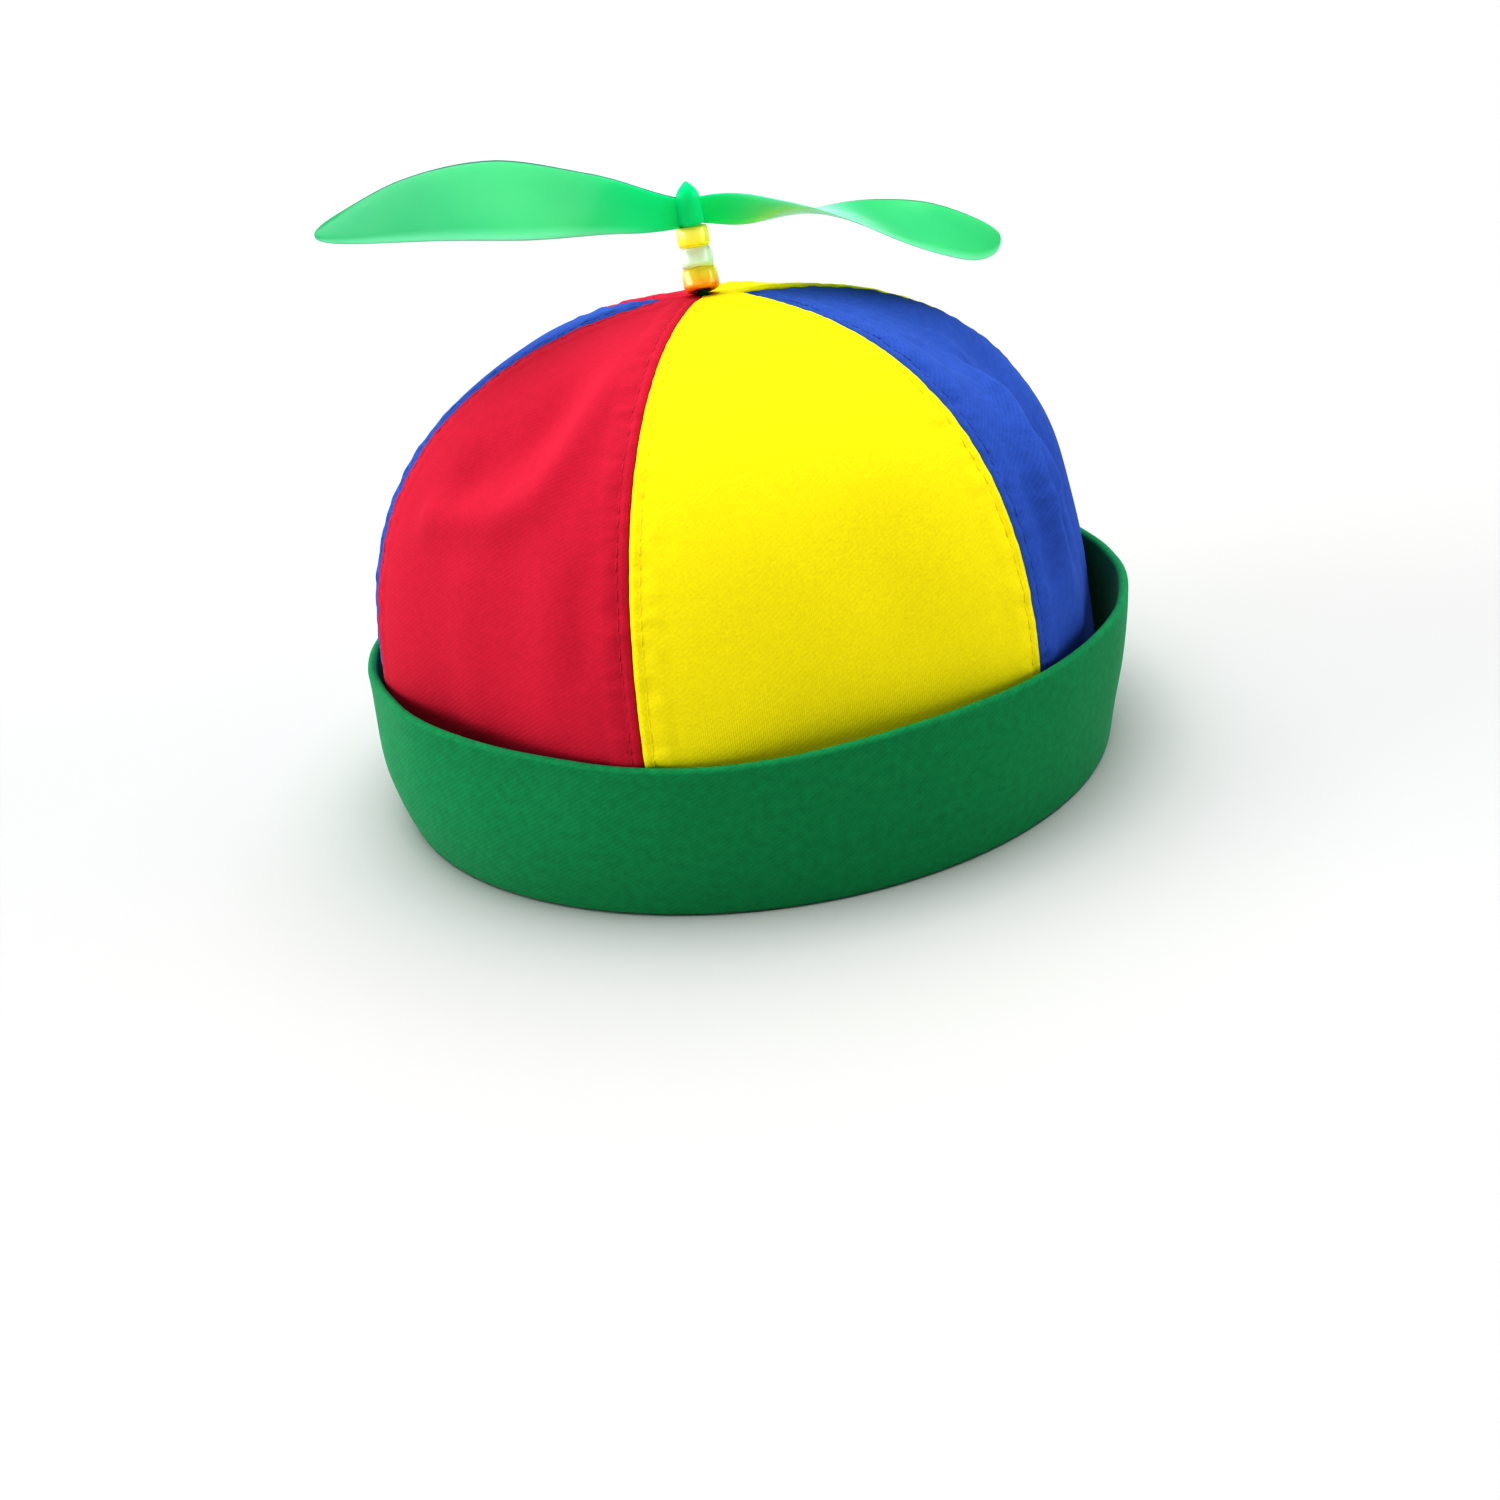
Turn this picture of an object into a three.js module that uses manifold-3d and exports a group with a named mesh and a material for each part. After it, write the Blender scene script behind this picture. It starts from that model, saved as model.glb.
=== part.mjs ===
// Propeller beanie: a cap of six cotton panels with a turned-up cuff, and on top a propeller that
// spins on a stem of three beads. Millimetres, +Z up. The origin is the middle of the cuff's
// underside, the front is -Y, and the long way of the head is near X.
import * as THREE from "three";
import { mergeVertices } from "three/addons/utils/BufferGeometryUtils.js";
import Module from "manifold-3d";

const wasm = await Module();
wasm.setup();

// Gap between two pieces that lie against each other.
const CLEARANCE = 0.3;

// Cuff: a doubled band that is folded at its foot and flares towards its rim.
const CUFF_FOOT_RADIUS = 96.4;
const CUFF_FLARE = 3.6;
const CUFF_RIM_RADIUS = CUFF_FOOT_RADIUS + CUFF_FLARE;
const CUFF_HEIGHT = 41;
const CUFF_WALL = 2.4;
const CUFF_BULGE = 0.9;
const CUFF_CORNER = 1.2;
const CUFF_SIDES = 72;

// Hem: the band's short inner edge, which holds the crown's foot from inside.
const HEM_HEIGHT = 12;
const HEM_WALL = 1.2;
const HEM_CORNER = 0.4;

// Where the cuff swells out: direction and width are in degrees about Z, up and spread are shares
// of the cuff's height, and lift is a share of SWELL_LIFT.
const SWELL_LIFT = 2.4;
const SWELLS = [
  { direction: 200, width: 44, up: 0.4, spread: 0.42, lift: 1.15 },
  { direction: -16, width: 45, up: 0.9, spread: 0.5, lift: 0.5 },
  { direction: 95, width: 30, up: 0.6, spread: 0.5, lift: 0.3 },
];

// The head opening is slightly oval: longer by this much at each end of the long way.
const OVAL_RISE = 2.6;
const OVAL_TURN = THREE.MathUtils.degToRad(-5);

// Crown: a rounded dome whose meridian is a superellipse with these two powers.
const CROWN_HEIGHT = 122;
const CROWN_WALL = 1.6;
const CROWN_HEIGHT_POWER = 3.6;
const CROWN_RADIUS_POWER = 2.2;
const CROWN_RADIUS = CUFF_FOOT_RADIUS - CUFF_WALL - CLEARANCE;
const CROWN_FOOT = CUFF_WALL + CLEARANCE;

// The top leans a little off the middle, and the seams stand proud of the panels between them.
// Folds fade out over this share of a panel's width at each seam.
const APEX_RIGHT = 1.2;
const APEX_BACK = 0.4;
const SEAM_RISE = 2.6;
const SEAM_FADE = 0.16;
const FIRST_SEAM = THREE.MathUtils.degToRad(-106);
const PANEL_COLUMNS = 10;
const PANEL_ROWS = 20;

// Post: a plain pin with a flat foot under the apex. It carries the beads and the propeller. The
// crown's cloth lies smooth over the foot and a margin round it.
const POST_RADIUS = 1.25;
const POST_SIDES = 12;
const POST_STEPS = 14;
const POST_HOLE_RADIUS = 2;
const POST_FOOT_RADIUS = 7;
const POST_FOOT_THICKNESS = 1.5;
const POST_FOOT_MARGIN = 2.4;
const POST_FOOT_SIDES = 20;

// The post bends: its leans are in degrees, to the right and to the front, at the crown and on top.
const LEAN_RIGHT_BELOW = -5.5;
const LEAN_RIGHT_ABOVE = -0.5;
const LEAN_FRONT_BELOW = 4;
const LEAN_FRONT_ABOVE = 12.7;

// Beads: short barrels with a wide hole, strung one on the other.
const BEAD_RADIUS = 3.85;
const BEAD_HEIGHT = 5.1;
const BEAD_HOLE_RADIUS = 1.8;
const BEAD_FULLNESS = 0.6;
const BEAD_SIDES = 16;
const BEAD_STEPS = 10;
const FIRST_BEAD_GAP = 0.75;
const BEAD_GAP = 0.3;

// Propeller: a tapered boss with a blind bore and two thin twisted blades, moulded as one piece.
const BOSS_FOOT_RADIUS = 3.2;
const BOSS_TOP_RADIUS = 2.6;
const BOSS_HEIGHT = 7.4;
const BOSS_TIP_HEIGHT = 3;
const BOSS_TIP_RADIUS = 0.5;
const BOSS_SIDES = 16;
const BORE_RADIUS = POST_RADIUS + 0.4;
const BORE_DEPTH = 5.6;
const BLADE_REACH = 84;
const BLADE_CHORD = 26;
const BLADE_THICKNESS = 1.1;
const BLADE_EDGE = 0.45;
const BLADE_EDGE_POWER = 4;
const BLADE_TIP_CHORD = 1.6;
const BLADE_TIP_POWER = 7;
const BLADE_SEAT = 3.3;
const BLADE_SPAN_STEPS = 18;
const BLADE_CHORD_STEPS = 6;
const PROPELLER_TURN = THREE.MathUtils.degToRad(13.7);

// Panels from the front right, anticlockwise seen from above.
const PANELS = [
  { name: "crown_panel_yellow_front", color: 0xf8e616 },
  { name: "crown_panel_blue_right", color: 0x2740bb },
  { name: "crown_panel_yellow_back", color: 0xf8e616 },
  { name: "crown_panel_red_back", color: 0xd9213c },
  { name: "crown_panel_blue_left", color: 0x2740bb },
  { name: "crown_panel_red_front", color: 0xd9213c },
];

// Folds and dents of the cloth. Each runs between two places on its panel, across from the left
// seam and up from the foot, as shares. Lift is a share of FOLD_LIFT, outwards when positive, and
// spread is a share of the crown's height.
const FOLD_LIFT = 2;
const FOLDS = [
  { panel: "crown_panel_blue_right", across: [0.1, 0.27], up: [0.86, 0.34], lift: 0.9, spread: 0.06 },
  { panel: "crown_panel_blue_right", across: [0.46, 0.68], up: [0.84, 0.5], lift: -1, spread: 0.11 },
  { panel: "crown_panel_blue_right", across: [0.5, 0.36], up: [0.76, 0.58], lift: -0.45, spread: 0.09 },
  { panel: "crown_panel_blue_right", across: [0.4, 0.75], up: [0.97, 0.93], lift: 0.8, spread: 0.08 },
  { panel: "crown_panel_blue_right", across: [0.7, 0.76], up: [0.93, 0.82], lift: 0.4, spread: 0.08 },
  { panel: "crown_panel_red_front", across: [0.3, 0.7], up: [0.9, 0.9], lift: -0.8, spread: 0.11 },
  { panel: "crown_panel_red_front", across: [0.2, 0.8], up: [0.74, 0.8], lift: 0.5, spread: 0.09 },
  { panel: "crown_panel_blue_left", across: [0.4, 0.6], up: [0.95, 0.97], lift: 0.5, spread: 0.08 },
  { panel: "crown_panel_blue_left", across: [0.72, 0.82], up: [0.32, 0.5], lift: 0.8, spread: 0.13 },
  { panel: "crown_panel_red_back", across: [0.3, 0.5], up: [0.5, 0.8], lift: -0.6, spread: 0.1 },
  { panel: "crown_panel_yellow_back", across: [0.6, 0.7], up: [0.45, 0.7], lift: -0.5, spread: 0.1 },
  { panel: "crown_panel_yellow_front", across: [0.75, 0.6], up: [0.36, 0.6], lift: -0.4, spread: 0.1 },
];

const BEADS = [
  { name: "bead_orange", color: 0xf08a10 },
  { name: "bead_pale_green", color: 0xb9e6a8 },
  { name: "bead_yellow", color: 0xf2c81c },
];

// Blade sections from the boss to the tip. Along is a share of the blade's reach, chord a share of
// the widest chord, lead the share of the chord ahead of the blade's middle line. Pitch is in
// degrees, and rise, a share of the reach, lifts the middle line. The soft blades are bent, each its
// own way, so their reaches differ a little too.
const BLADES = [
  {
    turn: 0,
    reach: 0.975,
    sections: [
      { along: 0, chord: 0.16, lead: 0.43, pitch: 89, rise: 0 },
      { along: 0.25, chord: 0.6, lead: 0.54, pitch: 34, rise: -0.048 },
      { along: 0.5, chord: 0.99, lead: 0.61, pitch: 2, rise: -0.113 },
      { along: 0.75, chord: 0.95, lead: 0.63, pitch: -19, rise: -0.192 },
      { along: 1, chord: 0.72, lead: 0.56, pitch: -39, rise: -0.292 },
    ],
  },
  {
    turn: Math.PI,
    reach: 1.03,
    sections: [
      { along: 0, chord: 0.16, lead: 0.43, pitch: 89, rise: 0 },
      { along: 0.25, chord: 0.6, lead: 0.54, pitch: 46, rise: 0.068 },
      { along: 0.5, chord: 0.99, lead: 0.61, pitch: 28, rise: 0.115 },
      { along: 0.75, chord: 0.95, lead: 0.63, pitch: 19, rise: 0.143 },
      { along: 1, chord: 0.72, lead: 0.56, pitch: 12, rise: 0.151 },
    ],
  },
];

const cloth = (color) => new THREE.MeshStandardMaterial({ color, roughness: 0.9, metalness: 0 });
const plastic = (color) => new THREE.MeshStandardMaterial({ color, roughness: 0.3, metalness: 0 });

function namedMesh(name, geometry, material) {
  const mesh = new THREE.Mesh(geometry, material);
  mesh.name = name;
  return mesh;
}

// Moves every corner of a geometry: the move takes the corner and returns its new place.
function reshape(geometry, move) {
  const position = geometry.attributes.position;
  const corner = new THREE.Vector3();
  for (let i = 0; i < position.count; i += 1) {
    const place = move(corner.fromBufferAttribute(position, i));
    position.setXYZ(i, place.x, place.y, place.z);
  }
  geometry.computeVertexNormals();
  return geometry;
}

function solidOf(geometry) {
  const bare = geometry.clone();
  bare.deleteAttribute("normal");
  bare.deleteAttribute("uv");
  const merged = mergeVertices(bare, 1e-4);
  const vertProperties = new Float32Array(merged.attributes.position.array);
  const triVerts = new Uint32Array(merged.index.array);
  return new wasm.Manifold(new wasm.Mesh({ numProp: 3, vertProperties, triVerts }));
}

function geometryOf(solid) {
  const mesh = solid.getMesh();
  const geometry = new THREE.BufferGeometry();
  geometry.setAttribute("position", new THREE.BufferAttribute(new Float32Array(mesh.vertProperties), 3));
  geometry.setIndex(new THREE.BufferAttribute(new Uint32Array(mesh.triVerts), 1));
  geometry.computeVertexNormals();
  return geometry;
}

// A turned body about Z, from outline points (radius, height).
function turned(outline, sides) {
  return new THREE.LatheGeometry(outline, sides).rotateX(Math.PI / 2);
}

// A round slab about Z with its middle at the origin.
function disc(radius, height, sides) {
  return new THREE.CylinderGeometry(radius, radius, height, sides).rotateX(Math.PI / 2);
}

function smoothStep(from, to, value) {
  return THREE.MathUtils.smoothstep(value, from, to);
}

// How far the head's oval widens a radius in the direction of an angle about Z.
function ovalFactor(angle) {
  return 1 + (OVAL_RISE / CUFF_RIM_RADIUS) * Math.cos(2 * (angle - OVAL_TURN));
}

// Cuff

function cuffOutline() {
  const rimOuter = CUFF_RIM_RADIUS;
  const rimInner = CUFF_RIM_RADIUS - CUFF_WALL;
  const footInner = CUFF_FOOT_RADIUS - CUFF_WALL;
  const hemOuter = CROWN_RADIUS - CROWN_WALL - CLEARANCE;
  const hemInner = hemOuter - HEM_WALL;
  const rimHeight = CUFF_HEIGHT - CUFF_WALL / 2;
  const middle = CUFF_HEIGHT / 2;
  const outline = new THREE.Path();
  outline.moveTo(hemInner + HEM_CORNER, 0);
  outline.lineTo(CUFF_FOOT_RADIUS - CUFF_CORNER, 0);
  outline.quadraticCurveTo(CUFF_FOOT_RADIUS, 0, CUFF_FOOT_RADIUS, CUFF_CORNER);
  outline.quadraticCurveTo((CUFF_FOOT_RADIUS + rimOuter) / 2 + CUFF_BULGE, middle, rimOuter, rimHeight);
  outline.absarc((rimOuter + rimInner) / 2, rimHeight, CUFF_WALL / 2, 0, Math.PI, false);
  outline.quadraticCurveTo((footInner + rimInner) / 2 + CUFF_BULGE, middle, footInner, CUFF_WALL);
  outline.lineTo(hemOuter, CUFF_WALL);
  outline.lineTo(hemOuter, HEM_HEIGHT - HEM_CORNER);
  outline.lineTo(hemOuter - HEM_CORNER, HEM_HEIGHT);
  outline.lineTo(hemInner + HEM_CORNER, HEM_HEIGHT);
  outline.lineTo(hemInner, HEM_HEIGHT - HEM_CORNER);
  outline.lineTo(hemInner, HEM_CORNER);
  outline.closePath();
  return outline.getPoints(2);
}

// How far the cuff's outer wall swells out at an angle and a height.
function swellLift(angle, height) {
  let lift = 0;
  for (const swell of SWELLS) {
    const turn = THREE.MathUtils.radToDeg(angle) - swell.direction;
    const aside = (THREE.MathUtils.euclideanModulo(turn + 180, 360) - 180) / swell.width;
    const above = (height / CUFF_HEIGHT - swell.up) / swell.spread;
    lift += swell.lift * SWELL_LIFT * Math.exp(-aside * aside - above * above);
  }
  return lift;
}

function cuff() {
  const band = turned(cuffOutline(), CUFF_SIDES);
  return reshape(band, (corner) => {
    const radius = Math.hypot(corner.x, corner.y);
    const angle = Math.atan2(corner.y, corner.x);
    const outer = radius > CROWN_RADIUS && corner.z > CUFF_CORNER / 2;
    const lift = outer ? swellLift(angle, corner.z) : 0;
    const factor = ovalFactor(angle) * (1 + lift / radius);
    return corner.set(corner.x * factor, corner.y * factor, corner.z);
  });
}

// Crown

// The dome's meridian from its foot to the edge of the post's hole, as (radius, height).
class Meridian extends THREE.Curve {
  constructor() {
    super();
    const footAngle = Math.asin((CROWN_FOOT / CROWN_HEIGHT) ** (CROWN_HEIGHT_POWER / 2));
    const holeAngle = Math.acos((POST_HOLE_RADIUS / CROWN_RADIUS) ** (CROWN_RADIUS_POWER / 2));
    this.from = (footAngle / (Math.PI / 2)) ** (2 / CROWN_HEIGHT_POWER);
    this.to = (holeAngle / (Math.PI / 2)) ** (2 / CROWN_HEIGHT_POWER);
  }

  getPoint(t, target = new THREE.Vector2()) {
    const share = THREE.MathUtils.lerp(this.from, this.to, t);
    const angle = (Math.PI / 2) * share ** (CROWN_HEIGHT_POWER / 2);
    const radius = CROWN_RADIUS * Math.cos(angle) ** (2 / CROWN_RADIUS_POWER);
    const height = CROWN_HEIGHT * Math.sin(angle) ** (2 / CROWN_HEIGHT_POWER);
    return target.set(radius, height);
  }
}

const meridian = new Meridian();

// Height of the dome's outer face above a point at this distance from its middle.
function domeHeight(radius) {
  const inner = 1 - (radius / CROWN_RADIUS) ** CROWN_RADIUS_POWER;
  return CROWN_HEIGHT * inner ** (1 / CROWN_HEIGHT_POWER);
}

// Lift of the cloth at a place on a panel, from the table of folds. It fades out at the seams and
// towards the post's foot.
function foldLift(panel, across, radius, height) {
  const width = (2 * Math.PI * radius) / PANELS.length;
  const seamFade = smoothStep(0, SEAM_FADE, across) * smoothStep(0, SEAM_FADE, 1 - across);
  const topFade = smoothStep(POST_FOOT_RADIUS + POST_FOOT_MARGIN, 3 * POST_FOOT_RADIUS, radius);
  const place = new THREE.Vector3(across * width, height, 0);
  const nearest = new THREE.Vector3();
  let lift = 0;
  for (const fold of FOLDS.filter((row) => row.panel === panel.name)) {
    const from = new THREE.Vector3(fold.across[0] * width, fold.up[0] * CROWN_HEIGHT, 0);
    const to = new THREE.Vector3(fold.across[1] * width, fold.up[1] * CROWN_HEIGHT, 0);
    new THREE.Line3(from, to).closestPointToPoint(place, true, nearest);
    const away = nearest.distanceTo(place) / (fold.spread * CROWN_HEIGHT);
    lift += fold.lift * FOLD_LIFT * Math.exp(-away * away);
  }
  return lift * seamFade * topFade;
}

// A place on a panel: across and along are shares, and depth is measured inwards from the face.
function crownPoint(panel, index, across, along, depth) {
  const panelAngle = (2 * Math.PI) / PANELS.length;
  const angle = FIRST_SEAM + (index + across) * panelAngle;
  const face = meridian.getPointAt(along);
  const way = meridian.getTangentAt(along);
  const proud = smoothStep(HEM_HEIGHT, CUFF_HEIGHT, face.y) * (SEAM_RISE / CROWN_RADIUS);
  const ridge = 1 + proud * Math.cos(PANELS.length * (angle - FIRST_SEAM));
  const lift = foldLift(panel, across, face.x, face.y) - depth;
  const radius = face.x * ovalFactor(angle) * ridge + lift * way.y;
  const height = face.y - lift * way.x;
  const lean = (height / CROWN_HEIGHT) ** 2;
  const aside = CLEARANCE * (0.5 - across);
  return new THREE.Vector3(
    radius * Math.cos(angle) - aside * Math.sin(angle) + APEX_RIGHT * lean,
    radius * Math.sin(angle) + aside * Math.cos(angle) + APEX_BACK * lean,
    height,
  );
}

function crownPanel(panel, index) {
  const slab = new THREE.BoxGeometry(1, 1, 1, PANEL_COLUMNS, PANEL_ROWS, 1);
  return reshape(slab, (corner) =>
    crownPoint(panel, index, corner.x + 0.5, corner.y + 0.5, (0.5 - corner.z) * CROWN_WALL));
}

// Stem

function leanDirection(right, front) {
  const aside = Math.tan(THREE.MathUtils.degToRad(right));
  const ahead = Math.tan(THREE.MathUtils.degToRad(front));
  return new THREE.Vector3(aside, -ahead, 1).normalize();
}

// The stem's middle line from the crown's top to the propeller's foot: one even bend.
const stemFoot = new THREE.Vector3(APEX_RIGHT, APEX_BACK, CROWN_HEIGHT);
const stemBelow = leanDirection(LEAN_RIGHT_BELOW, LEAN_FRONT_BELOW);
const stemAbove = leanDirection(LEAN_RIGHT_ABOVE, LEAN_FRONT_ABOVE);
const stemLength = FIRST_BEAD_GAP + BEADS.length * (BEAD_HEIGHT + BEAD_GAP);
const stemKnee = stemFoot.clone().addScaledVector(stemBelow, stemLength / 2);
const stemTop = stemKnee.clone().addScaledVector(stemAbove, stemLength / 2);
const stemLine = new THREE.QuadraticBezierCurve3(stemFoot, stemKnee, stemTop);

// A closed barrel outline: the hole's wall, then half a superellipse round the outside.
function beadOutline() {
  const outline = [];
  for (let i = 0; i <= BEAD_STEPS; i += 1) {
    const angle = (Math.PI * i) / BEAD_STEPS;
    const out = Math.sin(angle) ** BEAD_FULLNESS;
    const up = -Math.sign(Math.cos(angle)) * Math.abs(Math.cos(angle)) ** BEAD_FULLNESS;
    const radius = BEAD_HOLE_RADIUS + (BEAD_RADIUS - BEAD_HOLE_RADIUS) * out;
    outline.push(new THREE.Vector2(radius, (up * BEAD_HEIGHT) / 2));
  }
  outline.push(outline[0].clone());
  return outline;
}

function strungBead(bead, index) {
  const mesh = namedMesh(bead.name, turned(beadOutline(), BEAD_SIDES), plastic(bead.color));
  const along = FIRST_BEAD_GAP + BEAD_HEIGHT / 2 + index * (BEAD_HEIGHT + BEAD_GAP);
  const share = along / stemLength;
  mesh.position.copy(stemLine.getPointAt(share));
  mesh.quaternion.setFromUnitVectors(new THREE.Vector3(0, 0, 1), stemLine.getTangentAt(share));
  return mesh;
}

function post() {
  const footTop = domeHeight(POST_FOOT_RADIUS + POST_FOOT_MARGIN) - CROWN_WALL - CLEARANCE;
  const footMiddle = footTop - POST_FOOT_THICKNESS / 2;
  const below = stemFoot.clone().addScaledVector(stemBelow, footMiddle - CROWN_HEIGHT);
  const above = stemTop.clone().addScaledVector(stemAbove, BORE_DEPTH - CLEARANCE);
  const path = new THREE.CurvePath();
  path.add(new THREE.LineCurve3(below, stemFoot));
  path.add(stemLine);
  path.add(new THREE.LineCurve3(stemTop, above));
  const section = new THREE.Shape();
  section.absarc(0, 0, POST_RADIUS, 0, 2 * Math.PI, false);
  const pin = new THREE.ExtrudeGeometry(section, {
    steps: POST_STEPS,
    curveSegments: POST_SIDES / 2,
    extrudePath: path,
  });
  const foot = disc(POST_FOOT_RADIUS, POST_FOOT_THICKNESS, POST_FOOT_SIDES);
  foot.translate(below.x, below.y, footMiddle);
  return geometryOf(solidOf(pin).add(solidOf(foot)));
}

// Propeller, in its own frame: Z is the axis of spin, and the origin is the boss's foot.

// The blade's section at a share of its reach. The table's rows are evenly spaced, so a smooth
// curve through each column reads it between them.
function sectionAt(sections, along) {
  const section = {};
  for (const key of Object.keys(sections[0])) {
    const column = new THREE.SplineCurve(sections.map((row) => new THREE.Vector2(row.along, row[key])));
    section[key] = column.getPoint(along).y;
  }
  return section;
}

function blade(row) {
  const rootRadius = (BORE_RADIUS + BOSS_TOP_RADIUS) / 2;
  const reach = row.reach * BLADE_REACH;
  const slab = new THREE.BoxGeometry(1, 1, 1, BLADE_SPAN_STEPS, BLADE_CHORD_STEPS, 1);
  reshape(slab, (corner) => {
    const share = Math.sin(((corner.x + 0.5) * Math.PI) / 2);
    const distance = THREE.MathUtils.lerp(rootRadius, reach, share);
    const along = distance / reach;
    const section = sectionAt(row.sections, along);
    const rounding = Math.sqrt(1 - along ** BLADE_TIP_POWER);
    const chord = Math.max(section.chord * BLADE_CHORD * rounding, BLADE_TIP_CHORD);
    const ahead = (section.lead - 0.5 - corner.y) * chord;
    const thin = Math.abs(2 * corner.y) ** BLADE_EDGE_POWER;
    const half = THREE.MathUtils.lerp(BLADE_THICKNESS, BLADE_EDGE, thin) * corner.z;
    const pitch = THREE.MathUtils.degToRad(section.pitch);
    return corner.set(
      distance,
      -ahead * Math.cos(pitch) + half * Math.sin(pitch),
      BLADE_SEAT + section.rise * reach + ahead * Math.sin(pitch) + half * Math.cos(pitch),
    );
  });
  return slab.rotateZ(row.turn);
}

function propeller() {
  const bossOutline = [
    new THREE.Vector2(0, 0),
    new THREE.Vector2(BOSS_FOOT_RADIUS, 0),
    new THREE.Vector2(BOSS_TOP_RADIUS, BOSS_HEIGHT),
    new THREE.Vector2(BOSS_TIP_RADIUS, BOSS_HEIGHT + BOSS_TIP_HEIGHT),
    new THREE.Vector2(0, BOSS_HEIGHT + BOSS_TIP_HEIGHT),
  ];
  const bore = disc(BORE_RADIUS, 2 * BORE_DEPTH, BOSS_SIDES);
  let solid = solidOf(turned(bossOutline, BOSS_SIDES));
  for (const row of BLADES) {
    solid = solid.add(solidOf(blade(row)));
  }
  return geometryOf(solid.subtract(solidOf(bore)));
}

function propellerPlaced() {
  const right = new THREE.Vector3(1, 0, 0);
  right.addScaledVector(stemAbove, -right.dot(stemAbove)).normalize();
  const back = new THREE.Vector3().crossVectors(stemAbove, right);
  const placed = new THREE.Group();
  placed.position.copy(stemTop);
  placed.quaternion.setFromRotationMatrix(new THREE.Matrix4().makeBasis(right, back, stemAbove));
  const mesh = namedMesh("propeller", propeller(), plastic(0x35c978));
  mesh.rotation.z = PROPELLER_TURN;
  placed.add(mesh);
  return placed;
}

// The whole beanie

const crown = new THREE.Group();
PANELS.forEach((panel, index) => {
  crown.add(namedMesh(panel.name, crownPanel(panel, index), cloth(panel.color)));
});

const stem = new THREE.Group();
stem.add(namedMesh("post", post(), plastic(0x35c978)));
BEADS.forEach((bead, index) => stem.add(strungBead(bead, index)));
stem.add(propellerPlaced());

const beanie = new THREE.Group();
beanie.add(namedMesh("cuff", cuff(), cloth(0x138a4b)));
beanie.add(crown);
beanie.add(stem);

export default beanie;
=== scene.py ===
"""Propeller beanie: cloth panels with turned seams and topstitching, a folded cuff, beads and a
propeller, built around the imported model. Lengths are in millimetres until a mesh is finished."""

import math
from bisect import bisect_right

import bmesh
import bpy
from mathutils import Matrix, Quaternion, Vector, noise


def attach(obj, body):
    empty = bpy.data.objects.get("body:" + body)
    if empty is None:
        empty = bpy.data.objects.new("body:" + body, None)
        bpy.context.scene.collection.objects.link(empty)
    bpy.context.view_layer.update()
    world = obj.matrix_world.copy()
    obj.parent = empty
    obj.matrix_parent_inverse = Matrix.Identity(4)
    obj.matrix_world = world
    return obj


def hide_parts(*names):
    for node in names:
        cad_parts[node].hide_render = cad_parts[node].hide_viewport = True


bl_info = {
    "name": "Propeller Beanie",
    "version": (1, 0, 0),
    "blender": (4, 5, 0),
    "location": "View3D > Sidebar > Beanie",
    "description": "Builds a beanie of coloured panels with a cuff and a propeller",
    "category": "Object",
}

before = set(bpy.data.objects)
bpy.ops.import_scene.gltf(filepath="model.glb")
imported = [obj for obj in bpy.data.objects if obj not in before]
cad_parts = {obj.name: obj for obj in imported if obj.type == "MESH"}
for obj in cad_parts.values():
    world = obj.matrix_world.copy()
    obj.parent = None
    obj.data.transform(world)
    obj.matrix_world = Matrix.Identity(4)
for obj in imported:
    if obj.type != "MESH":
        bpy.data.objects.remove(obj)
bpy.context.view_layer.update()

MM = 0.001
BODY_HAT = "hat"
BODY_PROPELLER = "propeller"
CLOTH_UV = "cloth"

# Panels from the front right, anticlockwise seen from above: name and colour.
PANELS = (
    ("yellow_front", "yellow"),
    ("blue_right", "blue"),
    ("yellow_back", "yellow"),
    ("red_back", "red"),
    ("blue_left", "blue"),
    ("red_front", "red"),
)
PANEL_ANGLE = 2 * math.pi / len(PANELS)
FIRST_SEAM = math.radians(-106)

# How far the seams on each side of a blue panel are drawn to its middle, and how fast that fades
# further out. The seams meet at the radius BLUE_TIP, and the cloth ends a little before it, in
# millimetres.
DRAWN_SEAMS = {1: (0.7, 2.5), 2: (-1.3, 1.8), 4: (1.3, 1.8), 5: (-0.7, 2.5)}
BLUE_TIP = 10.0
BLUE_TIP_GAP = 0.5

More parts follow.
